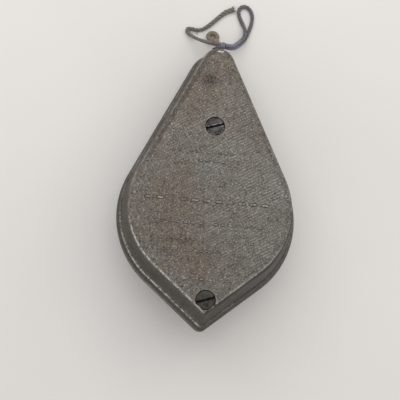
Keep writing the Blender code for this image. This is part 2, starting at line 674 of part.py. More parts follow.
def make_filler_door(frame, plate, steel):
    floor = CASE_DEPTH - DOOR_RECESS_DEPTH
    inner = floor + GAP
    outer = inner + DOOR_THICKNESS
    half = DOOR_HALF_WIDTH
    door = add_object("filler_door", block((-half, half), DOOR_Y, (-outer, -inner)), plate, frame)
    for number in range(3):
        y = DOOR_RIB_Y - number * DOOR_RIB_PITCH
        rib = block(
            (-DOOR_RIB_HALF_LENGTH, DOOR_RIB_HALF_LENGTH),
            (y - DOOR_RIB_HALF_WIDTH, y + DOOR_RIB_HALF_WIDTH),
            (-outer - DOOR_RIB_HEIGHT, -outer + DOOR_THICKNESS / 2),
        )
        shape_with(door, add_object(f"door_rib_{number + 1}", rib, None, frame), "UNION")

    low_y, high_y = DOOR_RECESS_Y[0] + GAP, DOOR_RECESS_Y[1] - GAP
    lip_inner = CASE_DEPTH - GUIDE_LIP
    section = [
        (GUIDE_BASE[1], -CASE_DEPTH),
        (GUIDE_BASE[1], -inner),
        (GUIDE_BASE[0], -inner),
        (GUIDE_BASE[0], -lip_inner),
        (GUIDE_LIP_X, -lip_inner),
        (GUIDE_LIP_X, -CASE_DEPTH),
    ]
    for label, side in (("left", -1), ("right", 1)):
        body = skin([[(side * x, y, z) for x, z in section] for y in (low_y, high_y)])
        guide = add_object(f"{label}_door_guide", body, plate, frame)
        for end, y in (("lower", GUIDE_RIVET_Y[0]), ("upper", GUIDE_RIVET_Y[1])):
            place = (side * GUIDE_RIVET_X, y, 0)
            hole = disc(GUIDE_RIVET_HOLE, -CASE_DEPTH - PAST, -floor + PAST, 12)
            shape_with(guide, add_object(f"{label}_{end}_guide_hole", hole, None, frame, place))
            under_head = -CASE_DEPTH - GAP
            rivet = turned(
                [
                    (GUIDE_RIVET_HEAD - 0.0005, under_head - 0.0006),
                    (GUIDE_RIVET_HEAD, under_head - 0.0003),
                    (GUIDE_RIVET_HEAD, under_head),
                    (GUIDE_RIVET_SHANK, under_head),
                    (GUIDE_RIVET_SHANK, -floor + GUIDE_RIVET_SEAT - GAP),
                ],
                12,
            )
            add_object(f"{label}_{end}_door_rivet", rivet, steel, frame, place)


# Lean and place of the case
def lean_angle():
    """How far the case leans nose down, resting on its knob and on its rear nose edge."""
    knob_y = -ARM_LENGTH + (KNOB_RADIUS - 0.0003) * math.cos(math.pi / KNOB_SIDES)
    half_step = (math.pi / 2 - FLANK_ANGLE) / NOSE_STEPS
    slopes = []
    for inset, depth in rear_section()[:5]:
        nose_y = NOSE_CENTRE_Y + (NOSE_RADIUS - inset) * math.cos(half_step)
        slopes.append(math.atan2(KNOB_END_DEPTH - depth, nose_y - knob_y))
    return min(slopes)


def stand_on_floor(frame, pieces):
    """Leans the case and puts the middle of its underside box at the origin."""
    frame.rotation_euler = (-lean_angle(), 0, 0)
    bpy.context.view_layer.update()
    depsgraph = bpy.context.evaluated_depsgraph_get()
    corners = []
    for piece in pieces:
        shaped = piece.evaluated_get(depsgraph)
        mesh = shaped.to_mesh()
        corners += [shaped.matrix_world @ vertex.co for vertex in mesh.vertices]
        shaped.to_mesh_clear()
    low = [min(corner[axis] for corner in corners) for axis in range(3)]
    high = [max(corner[axis] for corner in corners) for axis in range(3)]
    frame.location = (-(low[0] + high[0]) / 2, -(low[1] + high[1]) / 2, -low[2])


def main():
    clear_scene()
    cast = finish("cast_alloy", (0.16, 0.15, 0.14), 0.55, 0.85)
    steel = finish("steel", (0.35, 0.34, 0.32), 0.40, 1.0)
    plate = finish("sheet_steel", (0.42, 0.41, 0.39), 0.45, 1.0)
    brass = finish("bearing_bronze", (0.36, 0.24, 0.11), 0.40, 1.0)
    felt = finish("felt", (0.30, 0.29, 0.27), 0.95, 0.0)
    string = finish("cotton_line", (0.20, 0.20, 0.26), 0.95, 0.0)
    tan = finish("tan_thread", (0.30, 0.24, 0.18), 0.85, 0.0)
    black = finish("black_knob", (0.03, 0.03, 0.03), 0.45, 0.0)

    frame = bpy.data.objects.new("case_frame", None)
    bpy.context.collection.objects.link(frame)
    make_front_shell(frame, cast)
    make_rear_shell(frame, cast)
    make_case_screw("upper_case_screw", UPPER_SCREW_Y, frame, steel)
    make_case_screw("lower_case_screw", LOWER_SCREW_Y, frame, steel)
    make_outlet(frame, brass, felt)
    make_inner_line(frame, string)
    make_reel(frame, steel, plate)
    make_bearings(frame, brass, felt, steel)
    hinge = hinge_frame(frame)
    make_crank_hub(frame, hinge, steel)
    make_crank_arm(hinge, steel)
    make_knob(hinge, black, steel)
    make_filler_door(frame, plate, steel)
    solids = [thing for thing in bpy.data.objects if thing.type == "MESH" and not thing.hide_render]
    stand_on_floor(frame, solids)
    make_free_line(string, tan)


main()
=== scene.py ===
"""Looks of the chalk line reel: cast shells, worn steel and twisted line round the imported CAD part.

The CAD's own case frame is used for everything on the case: the origin is on the reel's axis in the
plane of the textured face, +X right, +Y towards the nose and +Z out of that face. It is worked out
from the record's joints. The free line is laid out in the row frame, as the CAD lays it out. Metres.
"""

import json
import math

import bmesh
import bpy
import numpy as np
from mathutils import Matrix, Vector
from mathutils.geometry import delaunay_2d_cdt


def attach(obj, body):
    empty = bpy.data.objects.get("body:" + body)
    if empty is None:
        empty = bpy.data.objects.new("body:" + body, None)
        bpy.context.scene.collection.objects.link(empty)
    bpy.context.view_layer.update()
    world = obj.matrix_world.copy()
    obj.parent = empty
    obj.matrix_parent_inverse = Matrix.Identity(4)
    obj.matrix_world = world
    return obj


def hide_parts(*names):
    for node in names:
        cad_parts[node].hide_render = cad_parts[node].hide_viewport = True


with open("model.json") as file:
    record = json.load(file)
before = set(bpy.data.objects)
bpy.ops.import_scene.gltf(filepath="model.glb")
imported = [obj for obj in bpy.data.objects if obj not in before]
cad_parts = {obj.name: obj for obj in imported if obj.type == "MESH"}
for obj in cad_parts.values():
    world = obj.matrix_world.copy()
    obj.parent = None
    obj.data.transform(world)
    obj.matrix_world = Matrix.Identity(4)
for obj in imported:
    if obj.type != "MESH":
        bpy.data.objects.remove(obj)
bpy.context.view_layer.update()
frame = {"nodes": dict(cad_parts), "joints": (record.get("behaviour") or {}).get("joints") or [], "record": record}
record = frame["record"]
nodes = frame["nodes"]
rng = np.random.default_rng(7)
QUARTER_TURN = math.pi / 2

# Camera, in the case frame: turned about Y, then X, then Z, and set back along its own axis
CAMERA_TURNS = (("Y", -5.471), ("X", 15.821), ("Z", 3.338))
CAMERA_OFFSET = (-0.0046, 0.0029, 0.5001)
CAMERA_LENS = 105.74
SENSOR_WIDTH = 36.0

# Case outline and section, as in the CAD
CASE_RADIUS = 0.0394
NOSE_RADIUS = 0.0111
FLANK_ANGLE = math.radians(25.4)
TIP_ANGLE = math.radians(49.8)
TIP_ROUND = 0.0035
LEAST_ROUND = 0.0006
CASE_DEPTH = 0.0254
PARTING_DEPTH = 0.0143
NOSE_CENTRE_Y = (CASE_RADIUS - NOSE_RADIUS) / math.sin(FLANK_ANGLE)
FACE_EDGE = 0.0046
FACE_RELIEF = 0.0010
SCREW_PLACES = ((0.0, 0.0365), (0.0, -0.0403))
SCREW_HEAD_RADIUS = 0.0040
SCREW_HEAD_HEIGHT = 0.0018
SCREW_TOP_DEPTH = 0.0001
SCREW_SHANK_RADIUS = 0.0021
SCREW_END_DEPTH = 0.0206
SCREW_SLOT_WIDTH = 0.0011
SCREW_SLOT_DEPTH = 0.0009
SCREW_SLOT_ANGLE = math.radians(19)
SLOT_ROWS = (
    # how far rows of points over a head lie from the slot's middle; its rim meets the first four
    0.00046, 0.00050, 0.00056, 0.00064, 0.00074, 0.00018, 0.00092,
    0.00116, 0.00145, 0.0018, 0.0022, 0.0027, 0.0032, 0.0037,
)
COUNTERBORE_RADIUS = 0.0043
COUNTERBORE_DEPTH = 0.0022
COUNTERBORE_SEAT = 0.0019
SCREW_HOLE_DEPTH = 0.0060
BUSH_HOLE_RADIUS = 0.0046
DOOR_RECESS = (-0.0093, 0.0093, 0.0299, 0.0580)
DOOR_RECESS_FLOOR = 0.0234
FILLER_HOLE = (-0.0050, 0.0050, 0.0437, 0.0557)
REAR_INNER_DEPTH = 0.0220
EDGE_BREAK = 0.0002

# Face texture
HATCH = ((math.radians(32), 0.00120), (math.radians(-50), 0.00128))
HATCH_STEPS = 4
HATCH_DEPTH = 0.00011
HATCH_REACH = 0.130
BORDER_WIDTH = 0.0021
BORDER_DROP = 0.00016
MARK_ROWS = (
    # middle y, first x, last x, dash length, dash width, gap
    (0.0242, -0.0180, 0.0110, 0.0016, 0.0008, 0.0009),
    (0.0203, -0.0130, 0.0120, 0.0022, 0.0008, 0.0010),
    (0.0024, -0.0285, 0.0285, 0.0036, 0.0012, 0.0014),
    (-0.0077, -0.0210, 0.0230, 0.0020, 0.0008, 0.0012),
    (-0.0150, -0.0260, 0.0270, 0.0015, 0.0007, 0.0008),
    (-0.0197, -0.0200, 0.0110, 0.0015, 0.0007, 0.0008),
    (-0.0318, -0.0105, 0.0120, 0.0022, 0.0010, 0.0014),
)
MARK_HEIGHT = 0.00034
MARK_STEPS = (
    # share of the height, share of the width, wear and grime
    (0.0, 1.60, 0.0, 0.50),
    (0.45, 1.45, 0.0, 0.52),
    (0.65, 1.00, 0.0, 0.62),
    (0.85, 0.80, 0.10, 0.25),
    (1.0, 0.45, 0.30, 0.0),
)
MARK_FOOT = -0.00017
MARKS_LEFT_OUT = 0.07

# Wear, grime and painted shade; the edges are brightest where they face the lower left, and painted shade darkens
# the rim where it faces the lower right
LOWER_LEFT = (-0.72, -0.69)
LOWER_RIGHT = (0.70, -0.71)
# painted shade that darkens the case's side walls
WALL_PAINTED_SHADE = 0.46
NOSE_PATCH = (-0.0035, 0.0572)
NOSE_PATCH_SIZE = (0.0038, 0.0033)
NOSE_GLINT_Y = 0.0714

# Free line, in the row frame, as in the CAD
KNOT_CENTRE = (-0.0001, 0.0657, 0.0117)
KNOT_WRAPS = (0.0003, 0.0032)
KNOT_DROP = 0.0008
KNOT_BIGHT = [
    (-0.0031, 0.0660, 0.0111),
    (-0.0014, 0.0656, 0.0121),
    (0.0004, 0.0651, 0.0124),
    (0.0022, 0.0649, 0.0118),
]
KNOT_STEM = [
    (0.0000, 0.0634, 0.0132),
    (0.0002, 0.0640, 0.0128),
    (0.0007, 0.0646, 0.0122),
    (0.0013, 0.0650, 0.0116),
]
TAIL_ROUTE = [
    (-0.0027, 0.0658, 0.0114),
    (-0.0052, 0.0667, 0.0092),
    (-0.0077, 0.0679, 0.0062),
    (-0.0099, 0.0692, 0.0036),
    (-0.0118, 0.0707, 0.0017),
    (-0.0131, 0.0720, 0.0009),
    (-0.0134, 0.0730, 0.0009),
    (-0.0126, 0.0736, 0.0009),
    (-0.0112, 0.0736, 0.0009),
    (-0.0096, 0.0734, 0.0009),
    (-0.0079, 0.0734, 0.0009),
    (-0.0062, 0.0739, 0.0009),
    (-0.0042, 0.0752, 0.0009),
    (-0.0019, 0.0773, 0.0009),
    (0.0012, 0.0804, 0.0009),
    (0.0038, 0.0827, 0.0009),
    (0.0060, 0.0838, 0.0009),
    (0.0075, 0.0845, 0.0009),
]
STRAY_FIBRE = (-0.0088, 0.0731, 0.0012)
LOOP_ROUTE = [
    (0.0026, 0.0651, 0.0108),
    (0.0050, 0.0646, 0.0093),
    (0.0083, 0.0653, 0.0064),
    (0.0115, 0.0678, 0.0034),
    (0.0139, 0.0713, 0.0017),
    (0.0154, 0.0751, 0.0009),
    (0.0163, 0.0789, 0.0009),
    (0.0163, 0.0823, 0.0009),
    (0.0149, 0.0851, 0.0009),
    (0.0126, 0.0863, 0.0009),
    (0.0106, 0.0854, 0.0009),
    (0.0099, 0.0833, 0.0009),
    (0.0107, 0.0806, 0.0009),
    (0.0122, 0.0779, 0.0011),
    (0.0134, 0.0749, 0.0021),
    (0.0130, 0.0716, 0.0034),
    (0.0107, 0.0686, 0.0052),
    (0.0077, 0.0661, 0.0082),
    (0.0049, 0.0654, 0.0111),
    (0.0026, 0.0658, 0.0125),
]
RING_CENTRE = (-0.0014, 0.0706, 0.0020)
RING_RADIUS = 0.0020
RING_SECTION = (0.0011, 0.0009)
RING_TILT = math.radians(21)
TIE_ROUTE = [
    (-0.0003, 0.0665, 0.0092),
    (-0.0005, 0.0667, 0.0075),
    (-0.0006, 0.0670, 0.0058),
    (-0.0007, 0.0673, 0.0045),
]
TIE_OVER = [
    (-0.0001, 0.0646, 0.0129),
    (-0.0003, 0.0655, 0.0136),
    (-0.0005, 0.0666, 0.0129),
    (-0.0006, 0.0673, 0.0110),
    (-0.0006, 0.0672, 0.0086),
]
LINE_STEP = 0.00022
LINE_FLOOR = 0.00004
HAIR_FLOOR = 0.00003


# Frame and camera
def joint(name):
    return next(j for j in frame["joints"] if j["name"] == name)


def case_matrix():
    """The case frame in the row frame, from the reel's axis, the door's slide and the face mount."""
    out_of_face = -Vector(joint("reel_spin")["axis"]).normalized()
    to_nose = -Vector(joint("door_slide")["axis"]).normalized()
    across = to_nose.cross(out_of_face)
    on_axis = Vector(joint("reel_spin")["pos_m"])
    on_face = Vector(next(m for m in record["mounts"] if m["name"] == "front_face")["pos_m"])
    origin = on_axis + out_of_face * (on_face - on_axis).dot(out_of_face)
    turn = Matrix((across, to_nose, out_of_face)).transposed().to_4x4()
    return Matrix.Translation(origin) @ turn


CASE = case_matrix()


def make_camera():
    data = bpy.data.cameras.new("camera")
    data.lens = CAMERA_LENS
    data.sensor_width = SENSOR_WIDTH
    data.clip_start = 0.01
    camera = bpy.data.objects.new("camera", data)
    bpy.context.scene.collection.objects.link(camera)
    turn = Matrix.Identity(4)
    for axis, degrees in CAMERA_TURNS:
        turn = turn @ Matrix.Rotation(math.radians(degrees), 4, axis)
    camera.matrix_world = CASE @ turn @ Matrix.Translation(CAMERA_OFFSET)
    bpy.context.scene.camera = camera


# Materials
def tone(red, green, blue):
    """A linear colour from screen values of 0 to 255."""
    linear = []
    for value in (red, green, blue):
        share = value / 255
        linear.append(share / 12.92 if share <= 0.04045 else ((share + 0.055) / 1.055) ** 2.4)
    return (*linear, 1.0)


class Graph:
    """Short calls for one material's nodes."""

    def __init__(self, name, roughness=0.5, metallic=0.0, specular=0.5):
        self.material = bpy.data.materials.new(name)
        self.material.use_nodes = True
        self.tree = self.material.node_tree
        self.shader = self.tree.nodes["Principled BSDF"]
        self.shader.inputs["Roughness"].default_value = roughness
        self.shader.inputs["Metallic"].default_value = metallic
        self.shader.inputs["Specular IOR Level"].default_value = specular
        self.place = self.add("TexCoord").outputs["Object"]

    def feed(self, value, socket):
        if isinstance(value, bpy.types.NodeSocket):
            self.tree.links.new(value, socket)
        else:
            socket.default_value = value

    def add(self, kind, **inputs):
        """A new node, with its inputs fed by their names."""
        node = self.tree.nodes.new("ShaderNode" + kind)
        for name, value in inputs.items():
            self.feed(value, node.inputs[name])
        return node

    def noise(self, scale, detail=4.0, roughness=0.55, stretch=None):
        place = self.place
        if stretch:
            place = self.add("Mapping", Vector=place, Scale=stretch).outputs["Vector"]
        node = self.add("TexNoise", Vector=place, Scale=scale, Detail=detail, Roughness=roughness)
        return node.outputs["Fac"]

    def attribute(self, name):
        node = self.add("Attribute")
        node.attribute_name = name
        return node.outputs["Fac"]

    def axis(self, name):
        return self.add("SeparateXYZ", Vector=self.place).outputs[name]

    def maths(self, operation, a, b):
        node = self.add("Math")
        node.operation = operation
        self.feed(a, node.inputs[0])
        self.feed(b, node.inputs[1])
        return node.outputs[0]

    def times(self, a, b):
        return self.maths("MULTIPLY", a, b)

    def spread(self, value, low, high, out_low=0.0, out_high=1.0):
        """The value's range from low to high spread smoothly over the output range."""
        limits = {"From Min": low, "From Max": high, "To Min": out_low, "To Max": out_high}
        node = self.add("MapRange", Value=value, **limits)
        node.interpolation_type = "SMOOTHSTEP"
        return node.outputs["Result"]

    def mix(self, share, a, b):
        """A mix of two colours, each a socket or screen values."""
        node = self.add("Mix")
        node.data_type = "RGBA"
        self.feed(share, node.inputs[0])
        for colour, number in ((a, 6), (b, 7)):
            self.feed(tone(*colour) if isinstance(colour, tuple) else colour, node.inputs[number])
        return node.outputs[2]

    def bump(self, height, distance, strength=1.0, below=None):
        node = self.add("Bump", Height=height, Distance=distance, Strength=strength)
        if below:
            self.feed(below, node.inputs["Normal"])
        return node.outputs["Normal"]

    def finish(self, colour, roughness=None, normal=None):
        for name, value in (("Base Color", colour), ("Roughness", roughness), ("Normal", normal)):
            if value is not None:
                self.feed(value, self.shader.inputs[name])
        return self.material


def cast_metal(name, grey, brown, dark, bright, grain=0.00006):
    """Old cast alloy: grey, with a patina that is brownest at the left, painted shade that darkens it towards the
    tip, specks, pits, grime and painted shade, and bright worn edges and painted highlights."""
    g = Graph(name, metallic=0.5)
    cloud = g.noise(42, 5, 0.6)
    left = g.spread(g.axis("X"), -0.004, 0.022, 1.0, 0.0)
    patina = g.times(g.spread(cloud, 0.32, 0.62), g.maths("ADD", g.times(left, 0.6), 0.3))
    colour = g.mix(patina, grey, brown)
    # painted shade: darker towards the tip, at the bottom of the case
    shade_towards_tip = g.spread(g.axis("Y"), -0.035, 0.045, 0.20, 0.0)
    colour = g.mix(shade_towards_tip, colour, dark)
    mottle = g.spread(g.noise(300, 4, 0.65), 0.34, 0.66)
    colour = g.mix(g.times(mottle, 0.50), colour, dark)
    specks = g.spread(g.noise(1500, 3, 0.7), 0.53, 0.68)
    colour = g.mix(g.times(specks, 0.9), colour, bright)
    pits = g.spread(g.noise(1050, 3, 0.65), 0.34, 0.46, 1.0, 0.0)
    grime_and_shade = g.maths("MAXIMUM", g.attribute("grime_and_shade"), g.times(pits, 0.85))
    # the attribute's grime and painted shade, with the pits, darken the colour
    colour = g.mix(grime_and_shade, colour, (34, 30, 28))
    rubbed = g.spread(g.noise(900, 4, 0.7), 0.40, 0.58)
    wear_and_highlight = g.times(g.attribute("wear_and_highlight"), g.maths("ADD", g.times(rubbed, 0.85), 0.15))
    colour = g.mix(wear_and_highlight, colour, (226, 223, 216))
    rough = g.maths("SUBTRACT", g.spread(cloud, 0.3, 0.7, 0.52, 0.66), g.times(wear_and_highlight, 0.2))
    normal = g.bump(g.noise(2200, 4, 0.7), grain * 1.6, 0.9)
    normal = g.bump(g.noise(420, 3, 0.5), grain * 1.8, 0.6, normal)
    return g.finish(colour, rough, normal)


def worn_steel(name, base, dark, bright, scratch=(1, 1, 1), roughness=(0.34, 0.52)):
    """Steel dulled by handling: fine scratches along one way, blotches of oxide and bright rubs."""
    g = Graph(name, metallic=0.85)
    oxide = g.spread(g.noise(320, 5, 0.65), 0.38, 0.68)
    colour = g.mix(g.times(oxide, 0.8), base, dark)
    lines = g.noise(1500, 3, 0.6, stretch=scratch)
    colour = g.mix(g.times(g.spread(lines, 0.5, 0.75), 0.35), colour, bright)
    # grime and painted shade from the attribute darken the steel
    colour = g.mix(g.attribute("grime_and_shade"), colour, (20, 18, 17))
    wear_and_highlight = g.times(g.attribute("wear_and_highlight"), g.spread(g.noise(900, 3, 0.6), 0.3, 0.6))
    colour = g.mix(wear_and_highlight, colour, bright)
    rough = g.spread(oxide, 0.0, 1.0, *roughness)
    normal = g.bump(lines, 0.00003, 0.6)
    normal = g.bump(g.noise(600, 4, 0.6), 0.00004, 0.5, normal)
    return g.finish(colour, rough, normal)


def cotton(name, light, dark, blue=None):
    """Twisted cotton: fibres along the strands, darker in the grooves and dusted with chalk."""
    g = Graph(name, roughness=0.95, specular=0.15)
    fibre = g.noise(5200, 4, 0.7)
    soil = g.spread(g.noise(520, 4, 0.6), 0.32, 0.68)
    colour = g.mix(g.spread(fibre, 0.32, 0.68), dark, light)
    colour = g.mix(g.times(soil, 0.45), colour, dark)
    # darker down in the grooves between the strands
    colour = g.mix(g.times(g.attribute("groove"), 0.75), colour, (50, 47, 48))
    if blue:
        share = g.times(g.attribute("chalk"), g.spread(g.noise(900, 3, 0.6), 0.25, 0.6, 0.55, 0.95))
        colour = g.mix(share, colour, blue)
    normal = g.bump(fibre, 0.00012, 0.9)
    g.shader.inputs["Sheen Weight"].default_value = 0.25
    g.shader.inputs["Sheen Roughness"].default_value = 0.6
    return g.finish(colour, normal=normal)


def felt_cloth(name):
    g = Graph(name, roughness=0.98, specular=0.1)
    fibre = g.noise(3400, 5, 0.75)
    colour = g.mix(g.spread(fibre, 0.35, 0.65), (84, 82, 84), (140, 138, 136))
    colour = g.mix(g.spread(g.noise(200, 3, 0.6), 0.45, 0.7, 0.0, 0.6), colour, (96, 102, 140))
    return g.finish(colour, normal=g.bump(fibre, 0.0002, 0.8))


def worn_black(name):
    g = Graph(name, roughness=0.45, specular=0.5)
    scuff = g.spread(g.noise(800, 5, 0.7), 0.52, 0.72)
    colour = g.mix(g.times(scuff, 0.5), (38, 37, 37), (92, 89, 86))
    colour = g.mix(g.spread(g.noise(90, 3, 0.6), 0.5, 0.7, 0.0, 0.4), colour, (70, 66, 62))
    rough = g.spread(g.noise(260, 4, 0.6), 0.3, 0.7, 0.38, 0.62)
    return g.finish(colour, rough, g.bump(g.noise(1600, 4, 0.65), 0.00005, 0.7))


def pale_floor(name):
    g = Graph(name, roughness=0.85, specular=0.2)
    cloud = g.spread(g.noise(6, 3, 0.5), 0.3, 0.7)
    colour = g.mix(cloud, (226, 224, 221), (231, 229, 226))
    return g.finish(colour, normal=g.bump(g.noise(900, 3, 0.6), 0.00004, 0.3))


# Mesh helpers
def add_piece(name, mesh, material, smooth_degrees=40):
    data = bpy.data.meshes.new(name)
    mesh.to_mesh(data)
    mesh.free()
    data.shade_smooth()
    data.set_sharp_from_angle(angle=math.radians(smooth_degrees))
    data.materials.append(material)
    piece = bpy.data.objects.new(name, data)
    bpy.context.scene.collection.objects.link(piece)
    return piece


def set_attribute(piece, name, values):
    attribute = piece.data.attributes.new(name, "FLOAT", "POINT")
    attribute.data.foreach_set("value", np.asarray(values, np.float32))


def settle(piece, matrix):
    """Moves the mesh itself, so that the piece's own box is its box in the row frame."""
    piece.data.transform(matrix)


def place_piece(piece, slot_name, *replaced):
    """Fixes a piece to the case and hides the CAD nodes that it stands for; its slot name is not used."""
    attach(piece, "case")
    if replaced:
        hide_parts(*replaced)
    return piece


def positions(piece):
    flat = np.zeros(len(piece.data.vertices) * 3)
    piece.data.vertices.foreach_get("co", flat)
    return flat.reshape(-1, 3)


def smooth_share(value, low, high):
    """0 up to low, 1 from high, and smooth between."""
    share = np.clip((value - low) / (high - low), 0, 1)
    return share * share * (3 - 2 * share)


def add_loop(mesh, points, height):
    return [mesh.verts.new((x, y, height)) for x, y in points]


def bridge(mesh, *loops):
    """Faces between each loop and the next."""
    for loop, other in zip(loops, loops[1:]):
        for i in range(len(loop)):
            j = (i + 1) % len(loop)
            mesh.faces.new((loop[i], loop[j], other[j], other[i]))


def close_tube(mesh, rings):
    bridge(mesh, *rings)
    mesh.faces.new(rings[0][::-1])
    mesh.faces.new(rings[-1])


def fill_between(mesh, outer, holes=(), extra=(), height=None):
    """Faces between an outer loop and the holes in it, through extra points lifted to their height."""
    points, edges, verts = [], [], []
    for loop in (outer, *holes):
        start = len(points)
        points += [Vector(v.co[:2]) for v in loop]
        verts += loop
        edges += [(start + i, start + (i + 1) % len(loop)) for i in range(len(loop))]
    points += [Vector(p) for p in extra]
    places, _, faces, origins, _, _ = delaunay_2d_cdt(points, edges, [], 1, 1e-9)
    made = []
    for place, came_from in zip(places, origins):
        first = min(came_from) if came_from else None
        if first is not None and first < len(verts):
            made.append(verts[first])
        else:
            made.append(mesh.verts.new((place[0], place[1], height(place[0], place[1]))))
    middles = np.array([np.mean([made[i].co[:2] for i in face], axis=0) for face in faces])
    kept = np.ones(len(faces), bool)
    for loop in holes:
        kept &= ~inside_outline(middles, [v.co[:2] for v in loop])
    for face, keep in zip(faces, kept):
        if keep:
            mesh.faces.new([made[i] for i in face])


def inside_outline(points, outline):
    """Whether each point is inside the closed outline."""
    ring = np.array(outline)
    inside = np.zeros(len(points), bool)
    for (x0, y0), (x1, y1) in zip(ring, np.roll(ring, -1, axis=0)):
        if y0 != y1:
            spans = (y0 > points[:, 1]) != (y1 > points[:, 1])
            inside ^= spans & (points[:, 0] < x0 + (points[:, 1] - y0) * (x1 - x0) / (y1 - y0))
    return inside


def on_circle(centre, radius, turn):
    return centre[0] + radius * math.cos(turn), centre[1] + radius * math.sin(turn)


def arc_points(centre, radius, start, end, steps, ends=0):
    """Points along an arc from its start, with its end only if ends is 1."""
    return [on_circle(centre, radius, start + (end - start) * i / steps) for i in range(steps + ends)]


def circle_points(centre, radius, count):
    return arc_points(centre, radius, 0, 2 * math.pi, count)


def rounded_box(box, corner, inset=0.0, steps=6):
    """A rectangle's outline with round corners, anticlockwise."""
    x0, x1, y0, y1 = box[0] + inset, box[1] - inset, box[2] + inset, box[3] - inset
    points = []
    for number, (x, y) in enumerate(((x1, y0), (x1, y1), (x0, y1), (x0, y0))):
        centre = (x - math.copysign(corner, x), y - corner if y == y1 else y + corner)
        start = (number - 1) * QUARTER_TURN
        points += arc_points(centre, corner, start, start + QUARTER_TURN, steps, 1)
    return points


def straight_points(start, end, steps):
    a, b = Vector(start), Vector(end)
    return [tuple(a.lerp(b, i / steps)) for i in range(steps)]


def case_outline(inset):
    """The case's outline this far inside its widest line, with the same count at any inset."""
    radius = CASE_RADIUS - inset
    tip_round = max(TIP_ROUND - inset, LEAST_ROUND)
    nose_round = NOSE_RADIUS - inset
    nose, tip = (0, NOSE_CENTRE_Y), (0, -(radius - tip_round) / math.sin(TIP_ANGLE))
    parts = [
        # an arc's centre, radius, start and end, its steps and those of the straight after it
        ((0, 0), radius, -TIP_ANGLE, FLANK_ANGLE, 64, 74),
        (nose, nose_round, FLANK_ANGLE, math.pi - FLANK_ANGLE, 36, 74),
        ((0, 0), radius, math.pi - FLANK_ANGLE, math.pi + TIP_ANGLE, 64, 38),
        (tip, tip_round, math.pi + TIP_ANGLE, 2 * math.pi - TIP_ANGLE, 10, 38),
    ]
    outline = []
    for (centre, size, start, end, steps, straight), following in zip(parts, parts[1:] + parts[:1]):
        outline += arc_points(centre, size, start, end, steps)
        outline += straight_points(on_circle(centre, size, end), on_circle(*following[:3]), straight)
    return outline


# Front shell
def edge_distance(points, outline):
    """How far each point is from the closed outline."""
    start = np.array(outline)
    step = np.roll(start, -1, axis=0) - start
    length = np.maximum((step**2).sum(1), 1e-18)
    nearest = np.full(len(points), np.inf)
    for a, d, size in zip(start, step, length):
        along = np.clip(((points - a) @ d) / size, 0, 1)
        gap = points - (a + along[:, None] * d)
        nearest = np.minimum(nearest, (gap**2).sum(1))
    return np.sqrt(nearest)


def wavy(points, size, seed):
    """A smooth uneven field from -1 to 1 over the points, with humps about this size."""
    waves = np.random.default_rng(seed)
    total = np.zeros(len(points))
    for _ in range(7):
        turn, phase = waves.uniform(0, math.pi), waves.uniform(0, 6.28)
        stretch = waves.uniform(0.6, 1.5)
        along = points @ np.array([math.cos(turn), math.sin(turn)])
        total += np.sin(along * 2 * math.pi * stretch / (2 * size) + phase)
    return total / 3.2


def hatch_grooves(points):
    """Depth share of the two sets of grooves at each point, 0 on a land and 1 in a groove.

    The second set fades out to the right.
    """
    deepest = np.zeros(len(points))
    drift = wavy(points, 0.020, 3) * 0.00025
    left = 1 - smooth_share(points[:, 0], -0.012, 0.006)
    first = 0.88 + 0.12 * wavy(points, 0.0042, 8)
    second = 0.42 + 0.38 * left + 0.20 * wavy(points, 0.0050, 9)
    for (angle, pitch), share in zip(HATCH, (first, second)):
        across = points @ np.array([-math.sin(angle), math.cos(angle)]) + drift
        groove = share * (0.5 + 0.5 * np.cos(2 * math.pi * across / pitch)) ** 1.6
        deepest = np.maximum(deepest, groove)
    return np.clip(deepest, 0, 1)


def hatch_strength(points, edge):
    """How deep the texture is: full on the panel, rubbed away near the nose and in worn patches."""
    x, y = points.T
    panel = smooth_share(edge, BORDER_WIDTH * 0.75, BORDER_WIDTH * 1.25)
    near_nose = 1 - smooth_share(y, 0.0530, 0.0600)
    rubbed = 0.72 + 0.28 * wavy(points, 0.011, 11)
    left_middle = 1 - 0.45 * np.exp(-(((x + 0.012) / 0.016) ** 2 + ((y - 0.004) / 0.026) ** 2))
    crisp = 0.38 + 0.62 * smooth_share(y + 1.1 * x, -0.030, 0.012)
    return panel * near_nose * np.clip(rubbed, 0.25, 1.0) * left_middle * crisp


def face_heights(points, edge):
    """Height of the face at each point, with its sunk border, its texture and its unevenness."""
    panel = smooth_share(edge, BORDER_WIDTH * 0.8, BORDER_WIDTH * 1.15)
    step_fades = 1 - smooth_share(points[:, 1], 0.0540, 0.0600)
    height = -BORDER_DROP * (1 - panel) * step_fades - 0.00004
    height -= HATCH_DEPTH * hatch_strength(points, edge) * hatch_grooves(points)
    height += 0.00003 * wavy(points, 0.014, 5) + 0.000014 * wavy(points, 0.0016, 6)
    return np.minimum(height, -0.00001)


def grid_points():
    """Points along both sets of grooves, a few to each groove, over the whole face."""
    (first, first_pitch), (second, second_pitch) = HATCH
    normals = np.array([[-math.sin(first), math.cos(first)], [-math.sin(second), math.cos(second)]])
    steps = np.array([first_pitch, second_pitch]) / HATCH_STEPS
    counts = [int(HATCH_REACH / step) for step in steps]
    i, j = np.meshgrid(*[np.arange(-count, count) for count in counts], indexing="ij")
    shifts = np.stack([i.ravel() * steps[0], j.ravel() * steps[1]], axis=1)
    return shifts @ np.linalg.inv(normals).T


